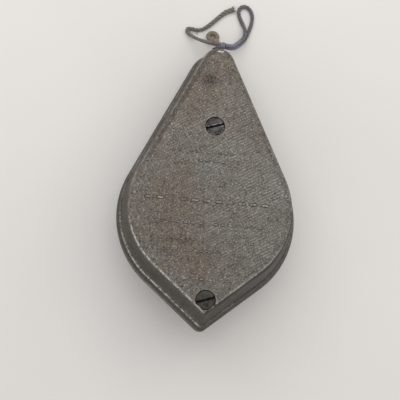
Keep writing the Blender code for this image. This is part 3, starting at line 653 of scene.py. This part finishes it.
# insets of the rounded rim's rows, which are given painted shade at the lower right
RIM_INSETS = (0.0038, 0.0044)
FRONT_EDGE = [
    # inset, depth and wear, from the face's rim to inside the wall
    (0.00460, 0.00018, 0.30),
    (0.00446, 0.00014, 0.75),
    (0.00432, 0.00020, 1.00),
    (0.00420, 0.00034, 1.00),
    (0.00410, 0.00056, 0.70),
    (0.00402, 0.00090, 0.20),
    (0.00385, 0.00200, 0.00),
    (0.00352, 0.00420, 0.00),
    (0.00310, 0.00680, 0.00),
    (0.00260, 0.00980, 0.00),
    (0.00215, 0.01260, 0.05),
    (0.00197, 0.01365, 0.35),
    (0.00196, 0.01385, 0.70),
    (0.00204, 0.01396, 0.60),
    (0.00220, 0.01400, 0.20),
    (0.00390, 0.01400, 0.00),
    (0.00600, 0.00320, 0.00),
    (0.00700, 0.00220, 0.00),
]


def sink(mesh, outline, steps):
    """Rings down into a hole, from steps of how far out and how deep each ring is."""
    rings = [add_loop(mesh, outline(out), -depth) for out, depth in steps]
    bridge(mesh, *rings)
    return rings


def make_counterbore(mesh, centre):
    """A screw's counterbore, the seat in it and the hole below. Returns its rim."""
    steps = (
        (0.00018, 0.00008),
        (0.00006, 0.00013),
        (0.0, 0.00026),
        (0.0, COUNTERBORE_DEPTH),
        (-COUNTERBORE_SEAT, COUNTERBORE_DEPTH),
        (-COUNTERBORE_SEAT, SCREW_HOLE_DEPTH),
    )
    rings = sink(mesh, lambda out: circle_points(centre, COUNTERBORE_RADIUS + out, 56), steps)
    mesh.faces.new(rings[-1])
    return rings[0]


def make_front_shell(material):
    mesh = bmesh.new()
    outline = case_outline(FACE_EDGE)
    loops = [add_loop(mesh, case_outline(inset), -depth) for inset, depth, _ in FRONT_EDGE]
    bridge(mesh, *loops)
    holes = [make_counterbore(mesh, centre) for centre in SCREW_PLACES]
    points = grid_points()
    points = points[inside_outline(points, outline)]
    # the free points keep clear of the rim and of the counterbores
    keep = edge_distance(points, outline) > 0.00022
    for centre in SCREW_PLACES:
        keep &= np.hypot(*(points - centre).T) > COUNTERBORE_RADIUS + 0.00042
    first = len(mesh.verts)
    fill_between(mesh, loops[0], holes, points[keep].tolist(), lambda x, y: 0.0)
    mesh.faces.new(loops[-1])
    mesh.verts.index_update()
    mesh.verts.ensure_lookup_table()
    face_verts = mesh.verts[first:]
    places = np.array([v.co[:2] for v in face_verts])
    heights = face_heights(places, edge_distance(places, outline))
    for vert, height in zip(face_verts, heights):
        vert.co.z = height
    mark_paint = add_marks(mesh)
    bmesh.ops.recalc_face_normals(mesh, faces=mesh.faces[:])
    piece = add_piece("front_case_shell", mesh, material)
    paint = FrontPaint(positions(piece), outline)
    set_attribute(piece, "wear_and_highlight", paint.wear_and_highlight(mark_paint[:, 0]))
    set_attribute(piece, "grime_and_shade", paint.grime_and_shade(mark_paint[:, 1]))
    settle(piece, CASE)
    place_piece(piece, "cast_alloy", "front_shell")


def add_marks(mesh):
    """Rows of plain raised dashes, low and round-topped. Returns the wear and grime of their points."""
    painted = []
    for y, first, last, length, width, gap in MARK_ROWS:
        pitch = length + gap
        count = int((last - first + gap) / pitch)
        for number in range(count):
            if rng.random() < MARKS_LEFT_OUT:
                continue
            x = first + number * pitch + length / 2
            half = length / 2 * rng.uniform(0.85, 1.0)
            height, shine = MARK_HEIGHT * rng.uniform(0.6, 1.0), rng.uniform(0.2, 1.0)
            loops = []
            for rise, share, wear_and_highlight, grime_and_shade in MARK_STEPS:
                outline = stadium((x, y), half - width / 2 * (1 - share), width / 2 * share)
                loops.append(add_loop(mesh, outline, rise * height + MARK_FOOT))
                painted += [(wear_and_highlight * shine, grime_and_shade)] * len(outline)
            bridge(mesh, *loops)
            mesh.faces.new(loops[-1])
    return np.array(painted)


def stadium(centre, half_long, half_wide, steps=4):
    """A dash's outline: two half circles and the straights between them."""
    points = []
    for side in (1, -1):
        middle = (centre[0] + side * (half_long - half_wide), centre[1])
        start = -side * QUARTER_TURN
        points += arc_points(middle, half_wide, start, start + math.pi, steps, 1)
    return points


def broken_line(count):
    """A share from 0.25 to 1 for each point of a closed line, in worn stretches and gaps."""
    spots = np.zeros(count)
    for share, spacing in ((0.5, 19), (0.35, 6), (0.15, 1)):
        knots = rng.random(count // spacing + 1)
        knots[-1] = knots[0]
        spots += share * np.interp(np.linspace(0, len(knots) - 1, count), np.arange(len(knots)), knots)
    return 0.25 + 0.75 * smooth_share(spots, 0.36, 0.62)


def edge_normals(outline):
    """The direction that each point of an outline faces, outwards."""
    ring = np.array(outline)
    tangent = np.roll(ring, -1, axis=0) - np.roll(ring, 1, axis=0)
    normal = np.stack([tangent[:, 1], -tangent[:, 0]], axis=1)
    return normal / np.linalg.norm(normal, axis=1)[:, None]


def worn_line(outline):
    """How bright each point of a worn edge is."""
    facing = edge_normals(outline) @ LOWER_LEFT
    rubbed = smooth_share(facing, 0.70, 0.95)
    broken = np.maximum(broken_line(len(outline)), 0.75 * rubbed)
    return broken * (0.25 + 0.75 * smooth_share(facing, 0.45, 0.97))


def bump_at(value, middle, width):
    """1 at the middle and falling off smoothly over this width."""
    return np.exp(-(((value - middle) / width) ** 2))


class FrontPaint:
    """Where each point of the front shell lies, and from that its wear, grime, painted shade and painted
    highlight.
    """

    def __init__(self, co, outline):
        self.places = co[:, :2]
        self.x, self.y = self.places.T
        self.outline = outline
        self.edge_verts = len(FRONT_EDGE) * len(outline)
        self.flat = co[:, 2] > -FACE_RELIEF
        self.flat[:self.edge_verts] = False
        self.edge = np.full(len(co), 1.0)
        self.edge[self.flat] = edge_distance(self.places[self.flat], outline)
        self.grooves = hatch_grooves(self.places)
        self.strength = hatch_strength(self.places, self.edge)
        # how far the rim faces the lower right, where it is given painted shade
        self.shaded = smooth_share(edge_normals(outline) @ LOWER_RIGHT, 0.2, 0.8)

    def edge_rows(self):
        """Each row of the edge: its points, depth and wear, and whether it is on the rounded rim."""
        count = len(self.outline)
        low, high = RIM_INSETS
        for number, (inset, depth, amount) in enumerate(FRONT_EDGE):
            yield slice(number * count, (number + 1) * count), depth, amount, low < inset < high

    def from_screws(self):
        """How far each point is from the nearer screw's middle."""
        return np.minimum(*[np.hypot(self.x - x, self.y - y) for x, y in SCREW_PLACES])

    def wear_and_highlight(self, marks):
        """Bare metal along the rim, on the lands, at the border and round the counterbores; a bright line along
        the face's edge at the lower right; a painted highlight near the nose; painted shade dims the rim at the
        lower right.
        """
        wear_and_highlight = np.zeros(len(self.x))
        worn = worn_line(self.outline)
        for row, _, amount, on_rim in self.edge_rows():
            # on the rim, painted shade dims the worn line at the lower right
            wear_and_highlight[row] = amount * worn * (1 - 0.9 * self.shaded if on_rim else 1.0)
        border = bump_at(self.edge, BORDER_WIDTH, 0.00045) * (self.y < 0.056)
        border *= smooth_share(wavy(self.places, 0.0011, 21), 0.35, 1.0)
        border *= np.where(self.x < 0.004, 1.0, 0.35)
        lower_right = smooth_share(-self.y, 0.010, 0.022) * (self.x > 0)
        lower_right *= bump_at(self.edge, 0.0003, 0.0003)
        lands = (1 - self.grooves) * self.strength
        wear_and_highlight[self.flat] = (0.30 * border + 0.20 * lands + 0.22 * lower_right)[self.flat]
        wear_and_highlight[-len(marks):] = marks
        counterbores = 0.22 * bump_at(self.from_screws(), COUNTERBORE_RADIUS + 0.0001, 0.00015)
        wear_and_highlight = np.clip(np.where(self.flat, np.maximum(wear_and_highlight, counterbores), wear_and_highlight), 0, 1)
        # painted highlight: a short bright line across the face near the nose
        glint = bump_at(self.y, NOSE_GLINT_Y, 0.00016) * (np.abs(self.x - 0.0006) < 0.0014)
        glint *= np.where(self.x < -0.0001, 4.0, 1.4)
        return np.where(self.flat, np.maximum(wear_and_highlight, glint), wear_and_highlight)

    def grime_and_shade(self, marks):
        """Painted shade on the wall, along the rim at the lower right and down in the counterbores; dirt in the
        grooves, along the border and near the nose.
        """
        grime_and_shade = np.zeros(len(self.x))
        for row, depth, _, on_rim in self.edge_rows():
            # painted shade on the wall, deeper further down it
            on_wall = WALL_PAINTED_SHADE * smooth_share(depth, 0.0006, 0.0030)
            # on the rim, painted shade darkens it where it faces the lower right
            grime_and_shade[row] = np.maximum(on_wall, 0.9 * self.shaded) if on_rim else on_wall
        across, along = NOSE_PATCH_SIZE
        patch = ((self.x - NOSE_PATCH[0]) / across) ** 2 + ((self.y - NOSE_PATCH[1]) / along) ** 2
        dots = smooth_share(wavy(self.places, 0.0007, 31), -0.20, 0.25)
        patch = np.exp(-(patch**1.5)) * (0.35 + 0.75 * dots)
        grime_and_shade[self.flat] = np.maximum(0.48 * self.grooves * self.strength, patch)[self.flat]
        grime_and_shade[-len(marks):] = marks
        border = (self.edge < BORDER_WIDTH * 0.9) & self.flat & (self.x < 0) & (self.y > 0.020)
        grime_and_shade[border] = np.maximum(grime_and_shade[border], 0.38)
        # painted shade down in the counterbores round the screws
        well = ~self.flat & (self.from_screws() < 0.0050)
        well[:self.edge_verts] = False
        grime_and_shade[well] = 0.85
        return np.clip(grime_and_shade, 0, 1)


# Rear shell
REAR_EDGE = [
    # inset, depth and wear, from the rear face round the side to the rim and the inside
    (0.00480, 0.02540, 0.05),
    (0.00400, 0.02534, 0.25),
    (0.00320, 0.02514, 0.35),
    (0.00250, 0.02484, 0.30),
    (0.00185, 0.02443, 0.20),
    (0.00128, 0.02390, 0.10),
    (0.00080, 0.02320, 0.05),
    (0.00042, 0.02236, 0.00),
    (0.00017, 0.02140, 0.00),
    (0.00005, 0.02030, 0.00),
    (0.00000, 0.01930, 0.10),
    (0.00003, 0.01870, 0.30),
    (0.00014, 0.01812, 0.25),
    (0.00042, 0.01716, 0.00),
    (0.00080, 0.01592, 0.00),
    (0.00112, 0.01488, 0.10),
    (0.00122, 0.01452, 0.60),
    (0.00128, 0.01437, 1.00),
    (0.00138, 0.01431, 1.00),
    (0.00152, 0.01430, 0.60),
    (0.00210, 0.01430, 0.10),
    (0.00420, 0.01430, 0.00),
    (0.00420, 0.01300, 0.00),
    (0.00530, 0.01300, 0.00),
    (0.00530, 0.01550, 0.00),
    (0.00260, 0.01830, 0.00),
    (0.00300, 0.02060, 0.00),
    (0.00500, REAR_INNER_DEPTH, 0.00),
]


def hole_steps(top, floor):
    """A hole's steps from its top to its floor, with a broken edge."""
    return (EDGE_BREAK, top), (0.0, top - EDGE_BREAK), (0.0, floor)


def paint_rear(piece):
    co = positions(piece)
    outline = case_outline(0)
    edge_verts = len(REAR_EDGE) * len(outline)
    wear_and_highlight, grime_and_shade = np.zeros(len(co)), np.zeros(len(co))
    wear_and_highlight[:edge_verts] = np.outer([amount for _, _, amount in REAR_EDGE], worn_line(outline)).ravel()
    # painted shade on the side walls
    grime_and_shade[:edge_verts] = WALL_PAINTED_SHADE
    rims = np.abs(co[:, 2] + CASE_DEPTH) < EDGE_BREAK + 0.00001
    rims[:edge_verts] = False
    wear_and_highlight[rims] = 0.7
    # darker in the door's recess and inside the shell
    sunk = (co[:, 2] > -DOOR_RECESS_FLOOR - 0.0001) & ~rims
    sunk[:edge_verts] = False
    grime_and_shade[sunk] = 0.5
    set_attribute(piece, "wear_and_highlight", wear_and_highlight)
    set_attribute(piece, "grime_and_shade", grime_and_shade)


def make_rear_shell(material):
    mesh = bmesh.new()
    loops = [add_loop(mesh, case_outline(inset), -depth) for inset, depth, _ in REAR_EDGE]
    bridge(mesh, *loops)
    bush_steps = hole_steps(CASE_DEPTH, REAR_INNER_DEPTH)
    bush = sink(mesh, lambda out: circle_points((0, 0), BUSH_HOLE_RADIUS + out, 48), bush_steps)
    recess_steps = hole_steps(CASE_DEPTH, DOOR_RECESS_FLOOR)
    recess = sink(mesh, lambda out: rounded_box(DOOR_RECESS, 0.0006, -out), recess_steps)
    filler_steps = hole_steps(DOOR_RECESS_FLOOR, REAR_INNER_DEPTH)
    filler = sink(mesh, lambda out: rounded_box(FILLER_HOLE, 0.0010, -out), filler_steps)
    fill_between(mesh, loops[0], [bush[0], recess[0]])
    fill_between(mesh, recess[-1], [filler[0]])
    fill_between(mesh, loops[-1], [bush[-1], filler[-1]])
    bmesh.ops.recalc_face_normals(mesh, faces=mesh.faces[:])
    piece = add_piece("rear_case_shell", mesh, material)
    paint_rear(piece)
    settle(piece, CASE)
    for vert in piece.data.vertices:
        vert.co.z = max(vert.co.z, 0.0)
    place_piece(piece, "cast_alloy", "rear_shell")


# Case screws
SLOT_ALONG = np.array([math.cos(SCREW_SLOT_ANGLE), math.sin(SCREW_SLOT_ANGLE)])
SLOT_ACROSS = np.array([-SLOT_ALONG[1], SLOT_ALONG[0]])


def screw_rim():
    """The outline of a screw's head, with a point where each row along the slot's lips meets it."""
    turns = list(np.linspace(0, 2 * math.pi, 132, endpoint=False))
    for offset in SLOT_ROWS[:4]:
        for side in (offset, -offset):
            slant = math.asin(side / SCREW_HEAD_RADIUS)
            for turn in (SCREW_SLOT_ANGLE + slant, SCREW_SLOT_ANGLE + math.pi - slant):
                turns.append(turn % (2 * math.pi))
    turns = sorted(turns)
    following = turns[1:] + [turns[0] + 2 * math.pi]
    turns = [turn for turn, after in zip(turns, following) if after - turn > 0.004]
    return np.array([on_circle((0, 0), SCREW_HEAD_RADIUS, turn) for turn in turns])


def screw_heights(points, burrs):
    """The height of a screw's top at each point, on its rounded, dented head and in its slot."""
    half = SCREW_SLOT_WIDTH / 2
    off = np.abs(points @ SLOT_ACROSS)
    rim = np.hypot(*points.T)
    slot = 1 - smooth_share(off, half - 0.00007, half)
    rounded = 0.00005 * (1 - smooth_share(off, half, half + 0.00022))
    chamfer = 0.00016 * smooth_share(rim, SCREW_HEAD_RADIUS - 0.00030, SCREW_HEAD_RADIUS)
    dents = 0.000025 * (1 + wavy(points, 0.0011, burrs))
    dents += 0.00002 * (1 + wavy(points, 0.0035, burrs + 1))
    raised = 0.00006 * bump_at(off, half + 0.00018, 0.00012) * (wavy(points, 0.0006, burrs + 2) > 0.25)
    low = -SCREW_TOP_DEPTH - SCREW_SLOT_DEPTH - 0.00003 * (1 + wavy(points, 0.0009, burrs + 3))
    top = -SCREW_TOP_DEPTH - rounded - chamfer - dents + raised
    return np.where(slot > 0.5, low, top)


def paint_screw(piece, burrs, shine):
    """Bright lips and rim, and painted shade in the slot and down the side."""
    co = positions(piece)
    points, depth = co[:, :2], -co[:, 2] - SCREW_TOP_DEPTH
    half = SCREW_SLOT_WIDTH / 2
    off = np.abs(points @ SLOT_ACROSS)
    far = np.hypot(*points.T)
    lip = bump_at(off, half + 0.00010, 0.00013) * (wavy(points, 0.0007, burrs + 4) > -0.1)
    edge = bump_at(far, SCREW_HEAD_RADIUS - 0.00016, 0.00014) * (wavy(points, 0.0016, burrs + 5) > 0)
    set_attribute(piece, "wear_and_highlight", shine * np.clip(0.95 * lip + 0.7 * edge, 0, 1) * (depth < 0.0004))
    # painted shade in the slot and down the head's side
    in_slot = (off < half - 0.00003) & (depth > 0.0004)
    side_wall = (far > SCREW_HEAD_RADIUS - 0.00003) & (depth > 0.0006)
    set_attribute(piece, "grime_and_shade", 0.95 * in_slot + 0.6 * side_wall)


def make_case_screw(name, replaced, centre, material, burrs, shine):
    """A slotted cheese-head screw; its top is one surface that drops into the slot."""
    rim = screw_rim()
    rows = [side * offset for offset in SLOT_ROWS for side in (1, -1)]
    steps = np.arange(-SCREW_HEAD_RADIUS, SCREW_HEAD_RADIUS, 0.00014)
    spots = [SLOT_ALONG * u + SLOT_ACROSS * v for v in rows for u in steps]
    spots = [spot.tolist() for spot in spots if math.hypot(*spot) < SCREW_HEAD_RADIUS - 0.00008]
    mesh = bmesh.new()
    top = [mesh.verts.new((x, y, z)) for (x, y), z in zip(rim, screw_heights(rim, burrs))]
    fill_between(mesh, top, (), spots, lambda x, y: float(screw_heights(np.array([[x, y]]), burrs)[0]))
    under = SCREW_TOP_DEPTH + SCREW_HEAD_HEIGHT
    shank = SCREW_SHANK_RADIUS / SCREW_HEAD_RADIUS
    profile = (
        # share of the head's radius, and depth
        (1.0, under),
        (shank, under),
        (shank, SCREW_END_DEPTH - 0.0006),
        (shank * 0.76, SCREW_END_DEPTH),
    )
    rings = [top] + [add_loop(mesh, (rim * share).tolist(), -depth) for share, depth in profile]
    bridge(mesh, *rings)
    mesh.faces.new(rings[-1])
    bmesh.ops.recalc_face_normals(mesh, faces=mesh.faces[:])
    piece = add_piece(name, mesh, material, 50)
    paint_screw(piece, burrs, shine)
    settle(piece, CASE @ Matrix.Translation((*centre, 0)))
    place_piece(piece, "screw_steel", replaced)


def make_case_screws():
    finish = dict(scratch=(1, 6, 1), roughness=(0.55, 0.70))
    grey = worn_steel("case_screw_steel", (78, 75, 76), (42, 40, 40), (186, 183, 180), **finish)
    black = worn_steel("dark_screw_steel", (64, 60, 55), (37, 35, 32), (142, 137, 130), **finish)
    make_case_screw("upper_screw", "upper_case_screw", SCREW_PLACES[0], grey, 41, 0.8)
    make_case_screw("lower_screw", "lower_case_screw", SCREW_PLACES[1], black, 61, 0.25)


# Twisted line
def smooth_route(points, spacing):
    """Points about this far apart on a smooth curve through the route's own points."""
    points = [Vector(point) for point in points]
    padded = [points[0] * 2 - points[1], *points, points[-1] * 2 - points[-2]]
    curve = []
    for p0, p1, p2, p3 in zip(padded, padded[1:], padded[2:], padded[3:]):
        for step in range(12):
            t = step / 12
            square, cube = 2 * p0 - 5 * p1 + 4 * p2 - p3, 3 * p1 - p0 - 3 * p2 + p3
            curve.append(0.5 * (2 * p1 + (p2 - p0) * t + square * t**2 + cube * t**3))
    curve.append(points[-1])
    lengths = np.concatenate([[0.0], np.cumsum([(b - a).length for a, b in zip(curve, curve[1:])])])
    count = max(2, round(lengths[-1] / spacing))
    wanted = np.linspace(0, lengths[-1], count + 1)
    even = np.stack([np.interp(wanted, lengths, [p[axis] for p in curve]) for axis in range(3)], axis=1)
    return even, wanted


def carried_frames(path):
    """Two directions across the path at each of its points, turning no more than the path does."""
    tangents = np.gradient(path, axis=0)
    tangents /= np.linalg.norm(tangents, axis=1)[:, None]
    side = np.cross(tangents[0], (0, 0, 1.0))
    side /= np.linalg.norm(side)
    sides = []
    for tangent in tangents:
        side = side - tangent * side.dot(tangent)
        side /= np.linalg.norm(side)
        sides.append(side)
    sides = np.array(sides)
    return sides, np.cross(tangents, sides)


def strand_radius(turn, strands):
    """The radius, as a share, of a bundle of touching strands at this turn from a strand's middle."""
    centre, strand = 0.47, 0.53
    spacing = 2 * math.pi / strands
    off = (turn + spacing / 2) % spacing - spacing / 2
    return centre * np.cos(off) + np.sqrt(strand**2 - (centre * np.sin(off)) ** 2)


def twisted_tube(mesh, path, along, radius, lay, strands=3, sides=27, flatten=1.0):
    """A line of twisted strands along the path. Returns how deep in a groove each vertex is."""
    across, other = carried_frames(path)
    radii, flatness = (np.broadcast_to(value, (len(path),)) for value in (radius, flatten))
    turns = np.linspace(0, 2 * math.pi, sides, endpoint=False)
    rings, grooves = [], []
    for number, point in enumerate(path):
        twist = 2 * math.pi * along[number] / lay
        share = strand_radius(turns - twist, strands)
        reach = radii[number] * share * (1 + 0.03 * rng.standard_normal(sides))
        spots = point + across[number] * (np.cos(turns) * reach)[:, None]
        spots += other[number] * (np.sin(turns) * reach * flatness[number])[:, None]
        spots[:, 2] = np.maximum(spots[:, 2], LINE_FLOOR)
        rings.append([mesh.verts.new(spot) for spot in spots])
        grooves += list(1 - smooth_share(share, 0.62, 0.92))
    close_tube(mesh, rings)
    return grooves


def make_hair(mesh, start, direction, length, radius, curl):
    """One thin fibre that leaves start and bends as it goes."""
    heading = Vector(direction).normalized()
    bend = Vector(rng.standard_normal(3)) * curl
    spots, place = [], Vector(start)
    for _ in range(6):
        spots.append(place)
        heading = (heading + bend / 6).normalized()
        place = place + heading * (length / 5)
        place.z = max(place.z, HAIR_FLOOR)
    rings = []
    for number, spot in enumerate(spots):
        size = radius * (1 - 0.12 * number)
        side = heading.orthogonal().normalized()
        up = heading.cross(side)
        ring = [spot + side * x + up * y for x, y in circle_points((0, 0), size, 4)]
        rings.append([mesh.verts.new((p.x, p.y, max(p.z, HAIR_FLOOR))) for p in ring])
    close_tube(mesh, rings)


def make_tail(material):
    """The line's free end, loose and flattened towards its cut."""
    path, along = smooth_route(TAIL_ROUTE, LINE_STEP)
    share = along / along[-1]
    radius = 0.00086 + 0.00006 * np.sin(share * 21) + 0.00034 * smooth_share(share, 0.55, 0.95)
    flatten = 1 - 0.30 * smooth_share(share, 0.55, 0.95)
    mesh = bmesh.new()
    sides = 30
    grooves = twisted_tube(mesh, path, along, radius, 0.0056, sides=sides, flatten=flatten)
    piece = add_piece("cord_tail", mesh, material)
    set_attribute(piece, "groove", grooves)
    set_attribute(piece, "chalk", np.repeat(0.25 * np.exp(-along / 0.004), sides))
    return place_piece(piece, "line", "line_tail"), path


def make_loop(material):
    """The doubled line, chalked blue except near the knot."""
    path, along = smooth_route(LOOP_ROUTE, LINE_STEP)
    radius = 0.00092 + 0.00005 * np.sin(along * 900)
    mesh = bmesh.new()
    sides = 27
    grooves = twisted_tube(mesh, path, along, radius, 0.0044, sides=sides)
    piece = add_piece("cord_loop", mesh, material)
    set_attribute(piece, "groove", grooves)
    ends = np.minimum(along, along[-1] - along)
    set_attribute(piece, "chalk", np.repeat(1 - smooth_share(ends, 0.009, 0.017), sides))
    return place_piece(piece, "line", "line_loop"), path


def make_knot(material):
    """Wraps round the line, with the tail running into them and the line coming out of the ferrule."""
    turns = np.linspace(-0.2, 2 * math.pi * 2.6, 120)
    share = (turns - turns[0]) / (turns[-1] - turns[0])
    swell = 0.00090 + 0.00022 * np.sin(share * math.pi)
    across = KNOT_WRAPS[0] + (KNOT_WRAPS[1] - KNOT_WRAPS[0]) * share
    middle_y, middle_z = KNOT_CENTRE[1] - KNOT_DROP, KNOT_CENTRE[2]
    wraps = np.stack([across, middle_y + swell * np.cos(turns), middle_z + swell * np.sin(turns)], axis=1)
    mesh = bmesh.new()
    grooves, chalk = [], []
    bight, _ = smooth_route(KNOT_BIGHT, LINE_STEP)
    stem, _ = smooth_route(KNOT_STEM, LINE_STEP)
    for path, radius, dust in ((wraps, 0.00066, 0.9), (bight, 0.00084, 0.25), (stem, 0.00080, 0.6)):
        along = np.concatenate([[0], np.cumsum(np.linalg.norm(np.diff(path, axis=0), axis=1))])
        made = twisted_tube(mesh, path, along, radius, 0.0036)
        grooves += made
        chalk += [dust] * len(made)
    piece = add_piece("cord_knot", mesh, material)
    set_attribute(piece, "groove", grooves)
    set_attribute(piece, "chalk", chalk)
    return place_piece(piece, "line", "line_knot")


def make_ring(material):
    """A small ring bound round and round with thread."""
    half_width, half_height = RING_SECTION
    steps, sides, wraps = 300, 22, 30
    mesh = bmesh.new()
    rings, grooves = [], []
    for i in range(steps):
        turn = 2 * math.pi * i / steps
        ring = []
        for k in range(sides):
            round_it = 2 * math.pi * k / sides
            wave = math.cos(wraps * turn - round_it)
            swell = 0.93 + 0.09 * wave + 0.012 * rng.standard_normal()
            out = RING_RADIUS + half_width * swell * math.cos(round_it)
            height = half_height * swell * math.sin(round_it)
            ring.append(mesh.verts.new((out * math.cos(turn), out * math.sin(turn), height)))
            grooves.append(0.5 - 0.5 * wave)
        rings.append(ring)
    bridge(mesh, *rings, rings[0])
    bmesh.ops.recalc_face_normals(mesh, faces=mesh.faces[:])
    piece = add_piece("bound_ring", mesh, material, 60)
    set_attribute(piece, "groove", grooves)
    settle(piece, Matrix.Translation(RING_CENTRE) @ Matrix.Rotation(-RING_TILT, 4, "X"))
    return place_piece(piece, "tan_thread", "line_ring")


def make_tie(material):
    """Flat thread from the ring up to the knot, and over the knot."""
    mesh = bmesh.new()
    grooves = []
    for route, radius, flatten in ((TIE_ROUTE, 0.00142, 0.62), (TIE_OVER, 0.00125, 0.5)):
        path, along = smooth_route(route, LINE_STEP)
        grooves += twisted_tube(mesh, path, along, radius, 0.0030, strands=5, sides=35, flatten=flatten)
    piece = add_piece("ring_binding", mesh, material)
    set_attribute(piece, "groove", grooves)
    return place_piece(piece, "tan_thread", "ring_tie")


def make_frayed_end(path, material):
    """Loose yarns where the tail was cut."""
    mesh = bmesh.new()
    end = Vector(path[-1])
    heading = Vector(path[-1] - path[-6]).normalized()
    side = heading.cross(Vector((0, 0, 1))).normalized()
    for spread in np.linspace(-1, 1, 26):
        lift = Vector((0, 0, rng.uniform(-0.0004, 0.0005)))
        start = end - heading * 0.0016 + side * (0.00085 * spread) + lift
        aim = heading + side * (0.35 * spread) + Vector((0, 0, rng.uniform(-0.1, 0.12)))
        make_hair(mesh, start, aim, rng.uniform(0.0016, 0.0031), rng.uniform(0.00009, 0.00019), 0.35)
    piece = add_piece("frayed_yarns", mesh, material)
    return place_piece(piece, "line")


def make_fuzz(tail_path, loop_path, material):
    """Single fibres that stand out of the tail and the loop."""
    mesh = bmesh.new()
    for path, radius, count in ((tail_path, 0.0008, 110), (loop_path, 0.0007, 120)):
        for _ in range(count):
            number = int(rng.integers(4, len(path) - 4))
            point = Vector(path[number])
            heading = Vector(path[number + 2] - path[number - 2]).normalized()
            out = Vector(rng.standard_normal(3))
            out = (out - heading * out.dot(heading)).normalized()
            aim = out + heading * rng.uniform(-1.4, 1.4)
            make_hair(mesh, point + out * radius * 0.8, aim, rng.uniform(0.0005, 0.0013), 0.000028, 0.9)
    make_hair(mesh, STRAY_FIBRE, (0.02, -1.0, 0.05), 0.0024, 0.00024, 0.1)
    piece = add_piece("cord_fuzz", mesh, material)
    return place_piece(piece, "line")


def make_cords():
    grey_line = cotton("cotton_grey", (164, 156, 147), (82, 77, 73), (124, 121, 134))
    blue_line = cotton("cotton_blue", (152, 149, 151), (66, 64, 68), (128, 126, 145))
    tan_line = cotton("tan_bound_thread", (196, 182, 162), (124, 110, 95))
    tie_line = cotton("brown_tie_thread", (150, 137, 122), (92, 82, 74))
    fibre = cotton("loose_fibre", (110, 103, 98), (58, 54, 52))
    tail, tail_path = make_tail(grey_line)
    loop, loop_path = make_loop(blue_line)
    knot = make_knot(blue_line)
    ring = make_ring(tan_line)
    tie = make_tie(tie_line)
    frays = make_frayed_end(tail_path, grey_line)
    fuzz = make_fuzz(tail_path, loop_path, fibre)


# CAD nodes that stay
def soften(node, width):
    """Rounds a carried-over node's edges."""
    weld = nodes[node].modifiers.new("weld", "WELD")
    weld.merge_threshold = 1e-6
    bevel = nodes[node].modifiers.new("round_edges", "BEVEL")
    bevel.width = width
    bevel.segments = 2
    bevel.limit_method = "ANGLE"
    bevel.angle_limit = math.radians(35)


def dress_nodes():
    """Materials of the CAD nodes that stay, and rounded edges on those that show outside."""
    rivets = [f"{side}_{end}_door_rivet" for side in ("left", "right") for end in ("lower", "upper")]
    pins = ["reel_drive_pin", "hub_cross_pin", "crank_hinge_pin", "knob_rivet"]
    covers = ["filler_door", "left_door_guide", "right_door_guide"]
    handle = ["crank_hub", "crank_arm"]
    finishes = {
        worn_steel("shaft_steel", (168, 166, 162), (112, 108, 104), (212, 210, 206), (1, 1, 8)): [
            "crank_shaft", "wave_washer", *pins, *rivets,
        ],
        worn_steel("crank_steel", (150, 147, 142), (92, 87, 82), (200, 197, 192), (7, 1, 1)): handle,
        worn_steel("sheet_steel", (160, 158, 154), (104, 101, 98), (205, 203, 199), (1, 7, 1)): [
            "front_flange", "rear_flange", "reel_hub", *covers,
        ],
        worn_steel("bearing_bronze", (168, 134, 84), (104, 80, 52), (208, 182, 128)): [
            "front_bush", "rear_bush",
        ],
        worn_steel("tarnished_bronze", (76, 66, 55), (44, 40, 37), (120, 104, 80), roughness=(0.6, 0.75)): [
            "outlet_ferrule",
        ],
        felt_cloth("grey_felt"): ["felt_wiper", "seal_washer"],
        cotton("wound_line", (128, 124, 126), (74, 72, 78), (100, 100, 138)): ["line_winding", "line_lead"],
        worn_black("knob_black"): ["crank_knob"],
    }
    for material, names in finishes.items():
        for name in names:
            nodes[name].material_slots[0].material = material
    for name in (*handle, "crank_knob", *covers):
        soften(name, 0.00020)


# Studio
def add_light(name, place, aim, size, power, colour=(1.0, 1.0, 1.0)):
    data = bpy.data.lights.new(name, "AREA")
    data.shape = "DISK"
    data.size = size
    data.energy = power
    data.color = colour
    light = bpy.data.objects.new(name, data)
    bpy.context.scene.collection.objects.link(light)
    light.visible_camera = False
    light.location = place
    light.rotation_mode = "QUATERNION"
    light.rotation_quaternion = (Vector(aim) - Vector(place)).to_track_quat("-Z", "Y")


def make_studio():
    mesh = bmesh.new()
    bmesh.ops.create_grid(mesh, x_segments=8, y_segments=8, size=4.0)
    floor = add_piece("studio_floor", mesh, pale_floor("pale_paper"))
    middle = (0, 0.01, 0.01)
    add_light("key", (-0.12, 0.36, 0.60), middle, 0.80, 2.45, (1.0, 0.997, 0.99))
    add_light("fill", (0.42, 0.34, 0.55), middle, 0.50, 0.85, (1.0, 0.97, 0.94))
    world = bpy.data.worlds.new("studio")
    world.use_nodes = True
    background = world.node_tree.nodes["Background"]
    background.inputs["Color"].default_value = (1.0, 0.985, 0.975, 1.0)
    background.inputs["Strength"].default_value = 0.57
    bpy.context.scene.world = world
    bpy.context.scene.view_settings.view_transform = "Standard"


make_camera()
make_cords()
cast = dict(grey=(104, 100, 95), brown=(111, 99, 85), dark=(64, 60, 56), bright=(158, 154, 147))
make_front_shell(cast_metal("cast_face", **cast))
make_rear_shell(cast_metal("cast_back", **cast, grain=0.00009))
make_case_screws()
dress_nodes()
make_studio()
